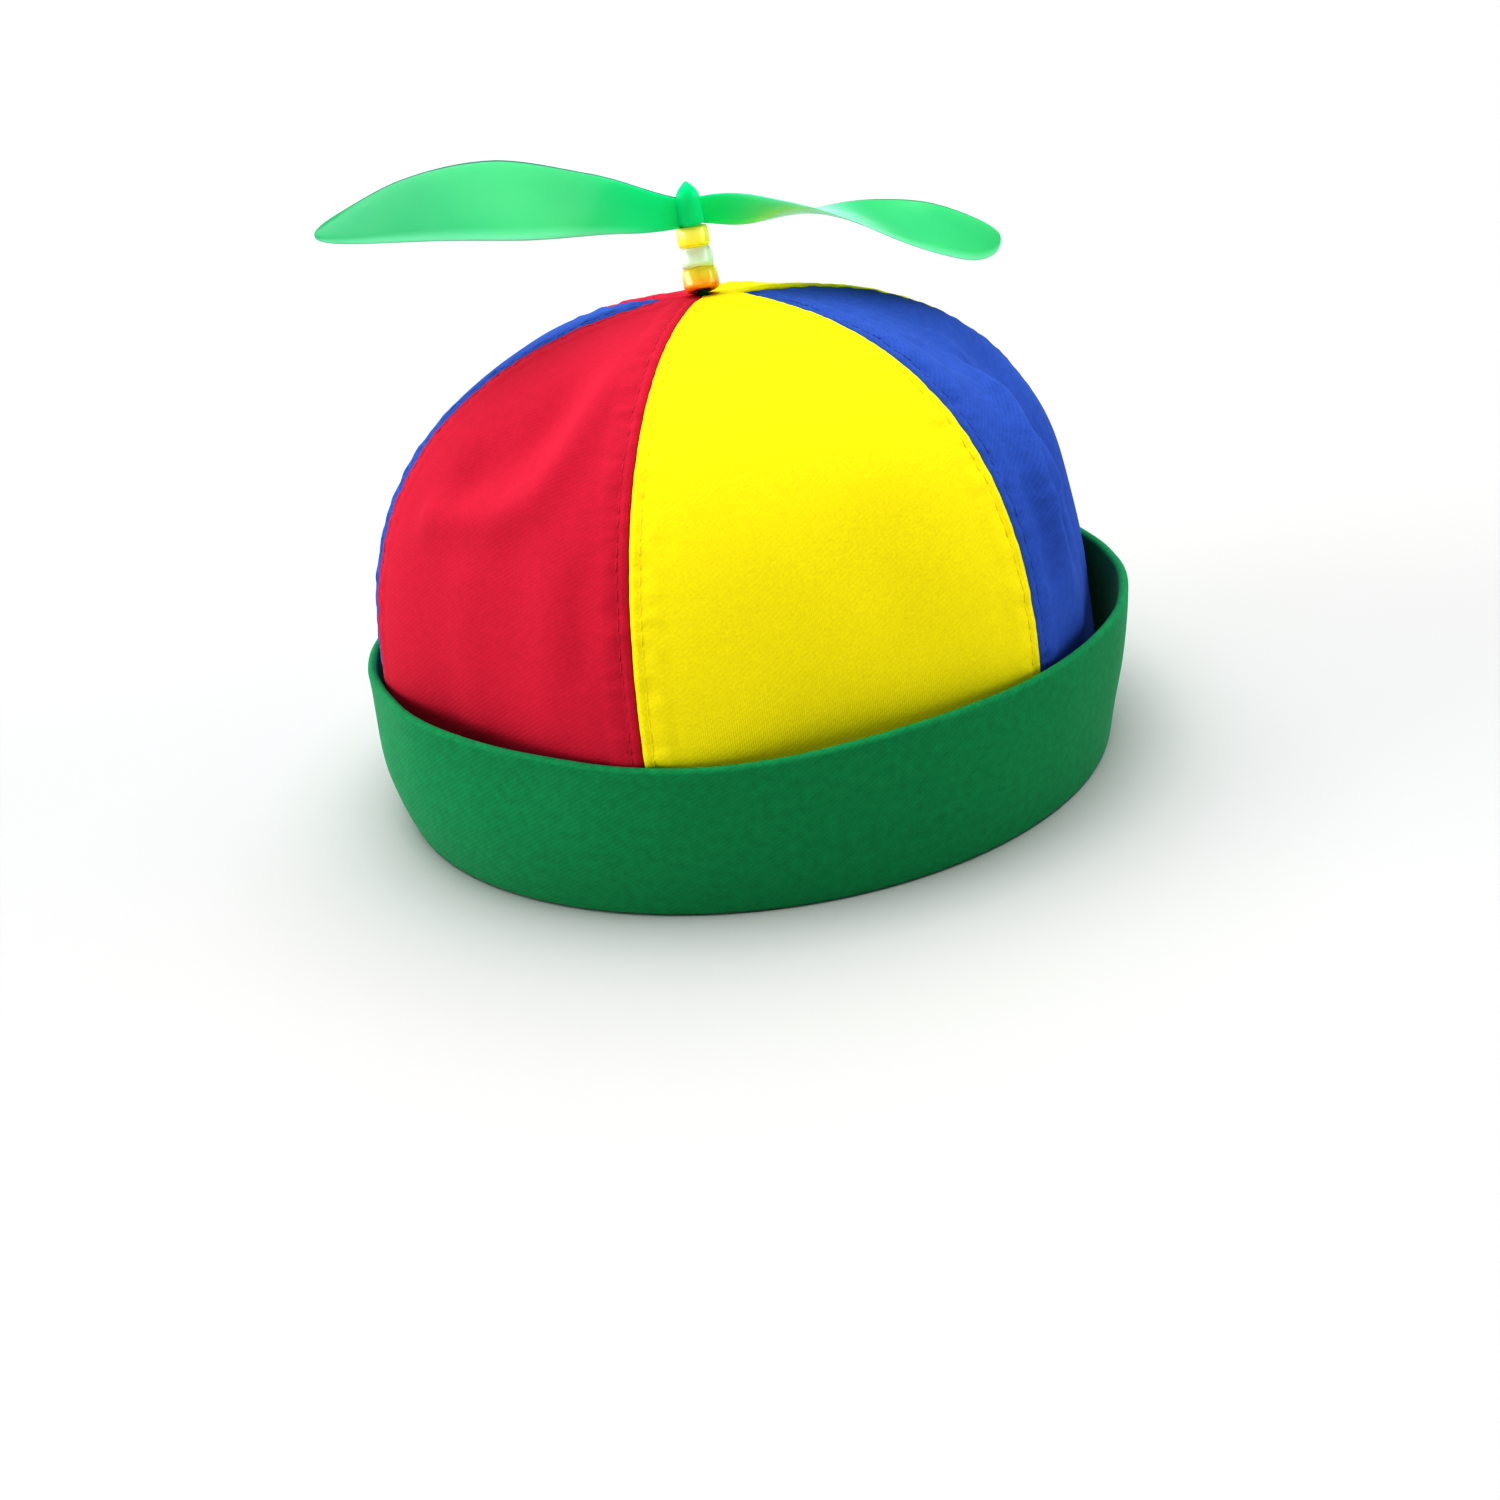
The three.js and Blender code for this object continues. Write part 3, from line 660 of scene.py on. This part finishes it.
def panel_place(dome, index):
    """The place of a panel's cloth: its edges turn in at the seams and lie back inside."""
    edge_steps = ALLOWANCE_STEPS + ROLL_STEPS
    columns = PANEL_COLUMNS + 2 * edge_steps
    end = panel_end(dome, index)

    def place(x, y):
        column = round(x * columns)
        y *= end
        (radius, _), _ = dome.row(y)
        width = dome.width(index, radius)
        profile = edge_profile(dome.sizes, width)
        roll = profile[-1][0]
        if column < edge_steps:
            gap, depth, cloth = profile[column]
            aside, flat = gap, cloth + roll
        elif column > columns - edge_steps:
            gap, depth, cloth = profile[columns - column]
            aside, flat = width - gap, width - cloth - roll
        else:
            share = (column - edge_steps) / PANEL_COLUMNS
            share -= CROWDING / (2 * math.pi) * math.sin(2 * math.pi * share)
            aside, depth = mix(roll, width - roll, share), 0.0
            flat = aside
        inside = min(max(aside, roll), width - roll)
        lift = cloth_lift(dome, index, inside, y) - depth
        aside = mix(SEAM_GAP, width - SEAM_GAP, aside / width)
        point = dome.point(index, aside / width, y, lift)
        return point, ((flat - width / 2) * MM, y * dome.length * MM)

    return columns, place


def panel_cut(dome, index):
    """Width, length and area of the flat cut of a panel, with its seam allowances, in metres."""
    sizes = dome.sizes
    turned_in = sizes.allowance + math.pi * sizes.seam_roll
    steps = 60
    end = panel_end(dome, index)
    radii = [dome.row(end * (step + 0.5) / steps)[0].x for step in range(steps)]
    widths = [dome.width(index, radius) for radius in radii]
    length = dome.length * end
    area = sum(width + 2 * min(turned_in, 0.42 * width) for width in widths) / steps * length
    return (max(widths) + 2 * turned_in) * MM, length * MM, area * MM * MM


class BEANIE_OT_crown_panels(bpy.types.Operator):
    """Sew the six panels of the crown, each a sheet of twill with its edges turned in"""

    bl_idname = "beanie.crown_panels"
    bl_label = "Crown panels"

    def execute(self, context):
        sizes, colours = context.scene.beanie_crown, context.scene.beanie_colours
        dome = Dome(sizes)
        cloths = {}
        for index, (name, colour) in enumerate(PANELS):
            width, length, area = panel_cut(dome, index)
            if colour not in cloths:
                cloths[colour] = twill(
                    "twill_" + colour, getattr(colours, colour), *GRAINS[colour])
            columns, place = panel_place(dome, index)
            shape = woven(columns, PANEL_ROWS, place)
            panel = finished(
                "panel_" + name, shape, cloths[colour], BODY_HAT,
                ["crown_panel_" + name])
            thicken(panel, sizes.cloth)
        return {"FINISHED"}


# Where the stitches begin above the foot and end below the top, in millimetres along the cloth.
FIRST_STITCH = 26.0
LAST_STITCH = 13
# Share of the pitch that shows as thread, and its share of the height above the cloth.
STITCH_SHARE = 0.8
STITCH_PROUD = 0.05


class BEANIE_OT_topstitching(bpy.types.Operator):
    """Lay a row of stitches on each side of every seam"""

    bl_idname = "beanie.topstitching"
    bl_label = "Topstitching"

    def execute(self, context):
        dome = Dome(context.scene.beanie_crown)
        threads = {}
        for index, (name, colour) in enumerate(PANELS):
            if colour not in threads:
                threads[colour] = sewing_thread(
                    "thread_" + colour, getattr(context.scene.beanie_colours, colour))
            shape = bmesh.new()
            for mirrored in (False, True):
                self.sew(shape, dome, index, mirrored)
            finished("stitches_" + name, shape, threads[colour], BODY_HAT)
        return {"FINISHED"}

    def sew(self, shape, dome, index, mirrored):
        sizes = dome.sizes
        inside = Vector((0, 0, 40))
        arc = FIRST_STITCH
        while arc < dome.length * panel_end(dome, index) - LAST_STITCH:
            start, middle, end = (
                self.on_cloth(dome, index, arc + share * sizes.stitch_pitch, mirrored)
                for share in (0, 0.5, STITCH_SHARE))
            way = end - start
            outward = way.cross(middle - inside).cross(way).normalized()
            across = outward.cross(way.normalized())
            turn = Matrix((across, way.normalized(), outward)).transposed().to_4x4()
            middle += outward * sizes.thread * STITCH_PROUD
            half = (sizes.thread / 2, way.length / 2 + 0.1, sizes.thread / 2)
            matrix = Matrix.Translation(middle) @ turn @ Matrix.Diagonal((*half, 1))
            bmesh.ops.create_uvsphere(shape, u_segments=6, v_segments=5, radius=1, matrix=matrix)
            arc += sizes.stitch_pitch

    def on_cloth(self, dome, index, arc, mirrored):
        along = arc / dome.length
        (radius, _), _ = dome.row(along)
        width = dome.width(index, radius)
        aside = width - dome.sizes.stitch_inset if mirrored else dome.sizes.stitch_inset
        return dome.point(index, aside / width, along, cloth_lift(dome, index, aside, along))


# Cuff


# The crown's wall, the gap between it and the hem, and the roundings of the hem and the foot.
CROWN_WALL = 1.6
HEM_GAP = 0.3
ROUND_HEM = 1.2
ROUND_FOOT = 1.3
HEM_STEPS = 4
OUTER_STEPS = 30
INNER_STEPS = 24
# Height where the band's inner end lies on its own fold.
INNER_END = 1.5


def cuff_outline(sizes, crown):
    """The cloth's right side, from the hem's top, under the foot and over the rim, to its end."""
    rim, foot = sizes.foot_radius + sizes.flare, sizes.foot_radius
    hem = crown.radius - CROWN_WALL - HEM_GAP - ROUND_HEM
    middle, half = (foot + rim) / 2 + sizes.bulge, sizes.height / 2
    top = sizes.height - sizes.wall / 2
    path = [(hem, sizes.hem - 3 * step) for step in range(HEM_STEPS)]
    path += arc_points(hem + ROUND_HEM, ROUND_HEM, ROUND_HEM, 180, 270, 5)
    path += [(hem + 2 * ROUND_HEM, 0)]
    path += arc_points(foot - ROUND_FOOT, ROUND_FOOT, ROUND_FOOT, 270, 360, 8)
    path += [curve_point((foot, ROUND_FOOT), (middle, half), (rim, top), step / OUTER_STEPS)
             for step in range(1, OUTER_STEPS)]
    path += arc_points(rim - sizes.wall / 2, top, sizes.wall / 2, 0, 180, 12)
    start, knee = (rim - sizes.wall, top), (middle - sizes.wall, half)
    path += [curve_point(start, knee, (foot - sizes.wall, INNER_END), step / INNER_STEPS)
             for step in range(1, INNER_STEPS + 1)]
    return path


def arc_points(across, up, radius, first, last, steps):
    """An arc around a centre, from one direction in degrees to another."""
    points = []
    for step in range(steps + 1):
        turn = math.radians(mix(first, last, step / steps))
        points.append((across + radius * math.cos(turn), up + radius * math.sin(turn)))
    return points


def curve_point(start, knee, end, share):
    """A point on the curve from start to end that is drawn towards the knee."""
    return tuple(
        (1 - share) ** 2 * a + 2 * share * (1 - share) * b + share ** 2 * c
        for a, b, c in zip(start, knee, end))


def turn_from(angle, direction):
    """Degrees from a direction to an angle, the short way round."""
    return (math.degrees(angle) - direction + 180) % 360 - 180


def swell(angle, height, cuff_height):
    return sum(
        most * bell(turn_from(angle, direction), width) * bell(height / cuff_height - up, spread)
        for direction, width, up, spread, most in SWELLS)


def rim_lift(angle):
    return sum(
        lift * bell(turn_from(angle, direction), width) for direction, width, lift in RIM_LIFTS)


CUFF_COLUMNS = 360
# Below this height the cuff keeps to its plain shape, so that it lies flat.
CUFF_REST = 0.6
CUFF_WAVES = 0.7
JOIN_GROOVE = 0.7
JOIN_PADDING = 0.3


class BEANIE_OT_cuff(bpy.types.Operator):
    """Fold the cuff: a band of twill, doubled at its rim and hemmed inside the crown's foot"""

    bl_idname = "beanie.cuff"
    bl_label = "Cuff"

    def execute(self, context):
        sizes, crown = context.scene.beanie_cuff, context.scene.beanie_crown
        outline = cuff_outline(sizes, crown)
        arcs = [0.0]
        for before, after in zip(outline, outline[1:]):
            arcs.append(arcs[-1] + math.dist(before, after))
        rows = len(outline) - 1
        girth = 2 * math.pi * (sizes.foot_radius + sizes.flare / 2)

        def place(x, y):
            row = round(y * rows)
            angle = math.pi / 2 + 2 * math.pi * x
            radius, height = outline[row]
            if radius > crown.radius and height > CUFF_REST:
                radius += swell(angle, height, sizes.height) + self.waves(angle, height)
                radius += self.join(x * girth, girth)
                height += rim_lift(angle) * (height / sizes.height) ** 2
            radius *= oval(angle)
            point = Vector((radius * math.cos(angle), radius * math.sin(angle), height))
            return point, (x * girth * MM, arcs[row] * MM)

        shape = woven(CUFF_COLUMNS, rows, place)
        bmesh.ops.remove_doubles(shape, verts=shape.verts, dist=0.001)
        cloth = twill("twill_green", context.scene.beanie_colours.green, *GRAINS["green"])
        band = finished("cuff_band", shape, cloth, BODY_HAT, ["cuff"])
        thicken(band, sizes.cloth)
        return {"FINISHED"}

    def waves(self, angle, height):
        """Soft unevenness of the folded cloth, none at its foot."""
        right, back = math.cos(angle) * 2.2, math.sin(angle) * 2.2
        uneven = noise.noise((right, back, height / 40))
        uneven += 0.4 * noise.noise((right * 3, back * 3, height / 14))
        return CUFF_WAVES * uneven * smooth(1, 14, height)

    def join(self, around, girth):
        """The band's two ends are sewn together at the back."""
        gap = min(around, girth - around)
        padding = JOIN_PADDING * smooth(1, 2, gap) * (1 - smooth(6, 8, gap))
        return -JOIN_GROOVE * bell(gap, 0.9) + padding


# Stem


FIRST_BEAD_GAP = 1.2
BEAD_GAP = 0.15
BEAD_FULLNESS = 0.45
BEAD_STEPS = 24

# How far the stem leans to the right and to the front, in degrees, at its foot and at its top.
LEAN_BELOW = (-5.5, 4.0)
LEAN_ABOVE = (-0.5, 12.7)


def lean(right, front):
    return Vector((math.tan(math.radians(right)), -math.tan(math.radians(front)), 1)).normalized()


def stem_line():
    """The stem's middle line: foot, knee and top, its direction at the top, and its length."""
    crown, sizes = bpy.context.scene.beanie_crown, bpy.context.scene.beanie_stem
    foot = Vector((Dome.APEX_RIGHT, Dome.APEX_BACK, crown.height))
    above = lean(*LEAN_ABOVE)
    length = FIRST_BEAD_GAP + len(BEADS) * (sizes.bead_height + BEAD_GAP)
    knee = foot + lean(*LEAN_BELOW) * length / 2
    return foot, knee, knee + above * length / 2, above, length


def stem_point(share):
    """A point on the stem's middle line, and the line's direction there."""
    foot, knee, top, *_ = stem_line()
    way = (knee - foot) * (1 - share) + (top - knee) * share
    return Vector(curve_point(foot, knee, top, share)), way.normalized()


def bead_outline(sizes):
    outline = []
    for step in range(BEAD_STEPS + 1):
        turn = math.pi * step / BEAD_STEPS
        out = math.sin(turn) ** BEAD_FULLNESS
        up = -math.copysign(abs(math.cos(turn)) ** BEAD_FULLNESS, math.cos(turn))
        outline.append((mix(sizes.bead_hole, sizes.bead_radius, out), up * sizes.bead_height / 2))
    return outline


class BEANIE_OT_beads(bpy.types.Operator):
    """String the three glossy beads on the stem"""

    bl_idname = "beanie.beads"
    bl_label = "Beads"

    def execute(self, context):
        sizes = context.scene.beanie_stem
        length = stem_line()[-1]
        for index, (colour, foot_shade_power, size, back) in enumerate(BEADS):
            shape = turned(bead_outline(sizes), 48, closed=True)
            along = FIRST_BEAD_GAP + sizes.bead_height / 2 + index * (sizes.bead_height + BEAD_GAP)
            place, way = stem_point(along / length)
            tilt = Vector((0, 0, 1)).rotation_difference(way).to_matrix().to_4x4()
            tilt = tilt @ Matrix.Rotation(math.radians(back), 4, "X") @ Matrix.Scale(size, 4)
            bmesh.ops.transform(shape, matrix=Matrix.Translation(place) @ tilt, verts=shape.verts)
            name = "bead_" + colour
            half = sizes.bead_height / 2
            material = glossy_bead(
                name, getattr(context.scene.beanie_colours, name), foot_shade_power,
                place.z - half, place.z + half)
            finished("beads_" + colour, shape, material, BODY_HAT, [name])
        return {"FINISHED"}


# How dark the post is beside the propeller: its plastic is darkened as a painted shade.
POST_SHADE = 0.16


class BEANIE_OT_post(bpy.types.Operator):
    """Give the post that carries the beads its plastic, darkened as a painted shade"""

    bl_idname = "beanie.post"
    bl_label = "Post"

    def execute(self, context):
        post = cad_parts["post"]
        post.data.materials.clear()
        # Painted shade: the post's plastic is darkened to stand for the shadow under the beads.
        shade = [part * POST_SHADE for part in context.scene.beanie_colours.plastic]
        post.data.materials.append(soft_plastic("post_plastic", *[shade] * 5))
        return {"FINISHED"}


# Propeller


def spline(values, share):
    """A smooth curve through evenly spaced values."""
    place = share * (len(values) - 1)
    index = min(int(place), len(values) - 2)
    weight = place - index
    before = values[index if index == 0 else index - 1]
    start, end = values[index], values[index + 1]
    after = values[min(index + 2, len(values) - 1)]
    first, second = (end - before) / 2, (after - start) / 2
    return ((2 * start - 2 * end + first + second) * weight ** 3
            + (-3 * start + 3 * end - 2 * first - second) * weight ** 2 + first * weight + start)


# Height of the blades' middle line above the boss's seat, and where they start from the axis.
BLADE_SEAT = 3.3
BLADE_ROOT = 2.1
BLADE_ROUND = 28
BLADE_SPAN = 90
# The higher, the blunter the tip.
BLADE_TIP_POWER = 7


def blade_shape(sizes, turn, reach_share, sections):
    """One blade: a closed thin tube along +X in the propeller's own frame, then turned."""
    reach = reach_share * sizes.reach
    columns = list(zip(*sections))
    hand = math.copysign(1, math.cos(math.radians(turn)))

    def place(x, y):
        share = math.sin(x * math.pi / 2)
        distance = mix(BLADE_ROOT, reach, share)
        along = distance / reach
        chord_share, lead, pitch, rise = (spline(column, along) for column in columns)
        rounding = math.sqrt(max(1 - along ** BLADE_TIP_POWER, 0))
        chord = max(chord_share * sizes.chord * rounding, 0.3)
        round_it = 2 * math.pi * y
        side = math.cos(round_it)
        thin = abs(side) ** 4
        half = mix(sizes.blade, sizes.edge, thin) / 2 * min(1.0, chord / 2)
        up = half * math.copysign(abs(math.sin(round_it)) ** 0.5, math.sin(round_it))
        ahead = (lead - 0.5 - side / 2) * chord
        pitch = math.radians(pitch)
        point = Vector((
            distance,
            -ahead * math.cos(pitch) + up * math.sin(pitch),
            BLADE_SEAT + rise * reach + ahead * math.sin(pitch) + up * math.cos(pitch)))
        return point, (hand * along, -hand * side)

    shape = woven(BLADE_SPAN, BLADE_ROUND, place)
    bmesh.ops.remove_doubles(shape, verts=shape.verts, dist=0.0005)
    open_edges = [edge for edge in shape.edges if edge.is_boundary]
    bmesh.ops.holes_fill(shape, edges=open_edges, sides=0)
    bmesh.ops.recalc_face_normals(shape, faces=shape.faces)
    about = Matrix.Rotation(math.radians(turn), 3, "Z")
    bmesh.ops.rotate(shape, cent=(0, 0, 0), matrix=about, verts=shape.verts)
    return shape


# The boss's blind bore: radius, and height of its end. Its foot stands clear of the top bead.
BORE_RADIUS = 1.65
BORE_END = 5.6
BORE_BEVEL = 0.15
BOSS_FOOT = 0.8
BOSS_BEVEL = 0.3
# Radius and height of the boss's shoulder, as shares, and how its bullet tip narrows.
BOSS_TAPER = 0.82
BOSS_SHOULDER = 0.66
BOSS_TIP_POWER = 1.6
BOSS_TIP_RADIUS = 0.55
SIDE_STEPS = 6
TIP_STEPS = 8


def boss_shape(sizes):
    """The propeller's middle: a tapered bullet with a blind bore for the post."""
    foot, top, height = sizes.boss_radius, sizes.boss_radius * BOSS_TAPER, sizes.boss_height
    shoulder = height * BOSS_SHOULDER
    outline = [
        (0, BORE_END), (BORE_RADIUS, BORE_END), (BORE_RADIUS, BOSS_FOOT + BORE_BEVEL),
        (BORE_RADIUS + BORE_BEVEL, BOSS_FOOT), (foot - BOSS_BEVEL, BOSS_FOOT),
        (foot, BOSS_FOOT + BOSS_BEVEL)]
    for step in range(1, SIDE_STEPS + 1):
        share = step / SIDE_STEPS
        outline.append((mix(foot, top, share), mix(BOSS_FOOT, shoulder, share)))
    for step in range(1, TIP_STEPS + 1):
        share = step / TIP_STEPS
        radius = mix(top, BOSS_TIP_RADIUS, share ** BOSS_TIP_POWER)
        outline.append((radius, mix(shoulder, height - 0.3, share)))
    outline += [(0.3, height - 0.06), (0, height)]
    return turned(outline, 40)


# How far the propeller is turned from the right at rest, in degrees.
SPIN_AT_REST = 13.7


class BEANIE_OT_propeller(bpy.types.Operator):
    """Mould the propeller: a boss and two thin twisted blades, all one piece"""

    bl_idname = "beanie.propeller"
    bl_label = "Propeller"

    def execute(self, context):
        sizes, colours = context.scene.beanie_stem, context.scene.beanie_colours
        _, _, top, above, _ = stem_line()
        right = Vector((1, 0, 0))
        right = (right - right.dot(above) * above).normalized()
        basis = Matrix((right, above.cross(right), above)).transposed().to_4x4()
        spin = Matrix.Rotation(math.radians(SPIN_AT_REST), 4, "Z")
        matrix = Matrix.Translation(top) @ basis @ spin
        shapes = [boss_shape(sizes)] + [blade_shape(sizes, *row) for row in BLADE_SECTIONS]
        for shape in shapes:
            bmesh.ops.transform(shape, matrix=matrix, verts=shape.verts)
        material = soft_plastic(
            "propeller_plastic", colours.plastic, colours.rim_shade, colours.blades, colours.left_tip,
            colours.right_root_highlight)
        boss = finished(
            "propeller_moulding", shapes[0], material, BODY_PROPELLER,
            ["propeller"])
        for index, shape in enumerate(shapes[1:]):
            blade = finished(f"blade_{index}", shape, material, BODY_PROPELLER)
            union = boss.modifiers.new("union", "BOOLEAN")
            union.operation, union.solver, union.object = "UNION", "EXACT", blade
        moulded = bpy.data.meshes.new_from_object(
            boss.evaluated_get(context.evaluated_depsgraph_get()))
        for union in list(boss.modifiers):
            bpy.data.objects.remove(union.object)
        boss.modifiers.clear()
        boss.data = moulded
        return {"FINISHED"}


# Stage


FLOOR_RADIUS = 6000
CAMERA_PLACE = (0, -361.216, 176.749)
CAMERA_AIM = (-2.869, 0, -5.793)
CAMERA_ROLL = math.radians(-7.787)

# How far up the light begins and ends to dim, as the height of a direction of length 1.
DIMMING = (0.1, 0.42)

# Wide soft lights: name, the direction that each comes from, and width in degrees.
LAMPS = (
    ("top", (0, 0.15, 1), 80),
    ("left", (-1, -0.02, 0.05), 50),
    ("right", (1, -0.12, 0.06), 50),
)


class BEANIE_OT_stage(bpy.types.Operator):
    """Set the floor, the camera and the soft light"""

    bl_idname = "beanie.stage"
    bl_label = "Stage"

    def execute(self, context):
        studio = context.scene.beanie_studio
        self.lay_floor(context, studio)
        self.aim_camera(context, studio)
        self.light(context, studio)
        context.scene.view_settings.view_transform = "Standard"
        context.scene.view_settings.look = "Very High Contrast"
        return {"FINISHED"}

    def lay_floor(self, context, studio):
        shape = turned([(0, 0), (FLOOR_RADIUS, 0)], 96)
        bmesh.ops.scale(shape, vec=(MM, MM, MM), verts=shape.verts)
        if sum(face.normal.z for face in shape.faces) < 0:
            bmesh.ops.reverse_faces(shape, faces=shape.faces)
        mesh = bpy.data.meshes.new("floor")
        shape.to_mesh(mesh)
        shape.free()
        mesh.shade_smooth()
        nodes = Nodes("floor_paper")
        nodes.shade(Base_Color=opaque(studio.floor), Roughness=0.9, Specular_IOR_Level=0.1)
        mesh.materials.append(nodes.material)
        floor = bpy.data.objects.new("floor", mesh)
        context.scene.collection.objects.link(floor)

    def aim_camera(self, context, studio):
        """The camera looks down on the front, and is rolled a little."""
        place, aim = Vector(CAMERA_PLACE) * MM, Vector(CAMERA_AIM) * MM
        roll = Quaternion((0, 0, 1), CAMERA_ROLL)
        data = bpy.data.cameras.new("camera")
        data.sensor_width, data.lens = 36, studio.lens
        data.clip_start, data.clip_end = 0.01, 100
        camera = bpy.data.objects.new("camera", data)
        camera.rotation_mode = "QUATERNION"
        camera.location = place
        camera.rotation_quaternion = (aim - place).to_track_quat("-Z", "Y") @ roll
        context.scene.collection.objects.link(camera)
        context.scene.camera = camera

    def light(self, context, studio):
        """White low down all round, dim above, and three wide soft lights."""
        world = bpy.data.worlds.new("studio")
        world.use_nodes = True
        tree = world.node_tree
        way = tree.nodes.new("ShaderNodeTexCoord")
        parts = tree.nodes.new("ShaderNodeSeparateXYZ")
        fade = tree.nodes.new("ShaderNodeMapRange")
        fade.interpolation_type = "SMOOTHSTEP"
        values = (*DIMMING, studio.horizon, studio.zenith)
        for name, value in zip(("From Min", "From Max", "To Min", "To Max"), values):
            fade.inputs[name].default_value = value
        sky = tree.nodes["Background"]
        sky.inputs["Color"].default_value = (1, 1, 1, 1)
        tree.links.new(way.outputs["Generated"], parts.inputs[0])
        tree.links.new(parts.outputs["Z"], fade.inputs["Value"])
        tree.links.new(fade.outputs[0], sky.inputs["Strength"])
        context.scene.world = world
        for name, way, width in LAMPS:
            data = bpy.data.lights.new("light_" + name, "SUN")
            data.angle, data.energy = math.radians(width), getattr(studio, name)
            lamp = bpy.data.objects.new("light_" + name, data)
            lamp.rotation_mode = "QUATERNION"
            lamp.location = way
            lamp.rotation_quaternion = (-Vector(way)).to_track_quat("-Z", "Y")
            context.scene.collection.objects.link(lamp)


OPERATORS = (
    BEANIE_OT_stage,
    BEANIE_OT_crown_panels,
    BEANIE_OT_topstitching,
    BEANIE_OT_cuff,
    BEANIE_OT_beads,
    BEANIE_OT_post,
    BEANIE_OT_propeller,
)


class BEANIE_PT_sidebar(bpy.types.Panel):
    """The beanie's pieces, in the order in which they are made"""

    bl_idname = "BEANIE_PT_sidebar"
    bl_label = "Propeller Beanie"
    bl_space_type = "VIEW_3D"
    bl_region_type = "UI"
    bl_category = "Beanie"

    def draw(self, context):
        for operator in OPERATORS:
            self.layout.operator(operator.bl_idname)


GROUPS = {
    "beanie_crown": BeanieCrownSizes,
    "beanie_cuff": BeanieCuffSizes,
    "beanie_stem": BeanieStemSizes,
    "beanie_colours": BeanieColours,
    "beanie_studio": BeanieStudio,
}


def register():
    for made in (*GROUPS.values(), *OPERATORS, BEANIE_PT_sidebar):
        bpy.utils.register_class(made)
    for name, group in GROUPS.items():
        setattr(bpy.types.Scene, name, bpy.props.PointerProperty(type=group))


def unregister():
    for name in GROUPS:
        delattr(bpy.types.Scene, name)
    for made in (BEANIE_PT_sidebar, *reversed(OPERATORS), *reversed(GROUPS.values())):
        bpy.utils.unregister_class(made)


def main():
    register()
    for operator in OPERATORS:
        group, name = operator.bl_idname.split(".")
        getattr(getattr(bpy.ops, group), name)()


if __name__ == "__main__":
    main()
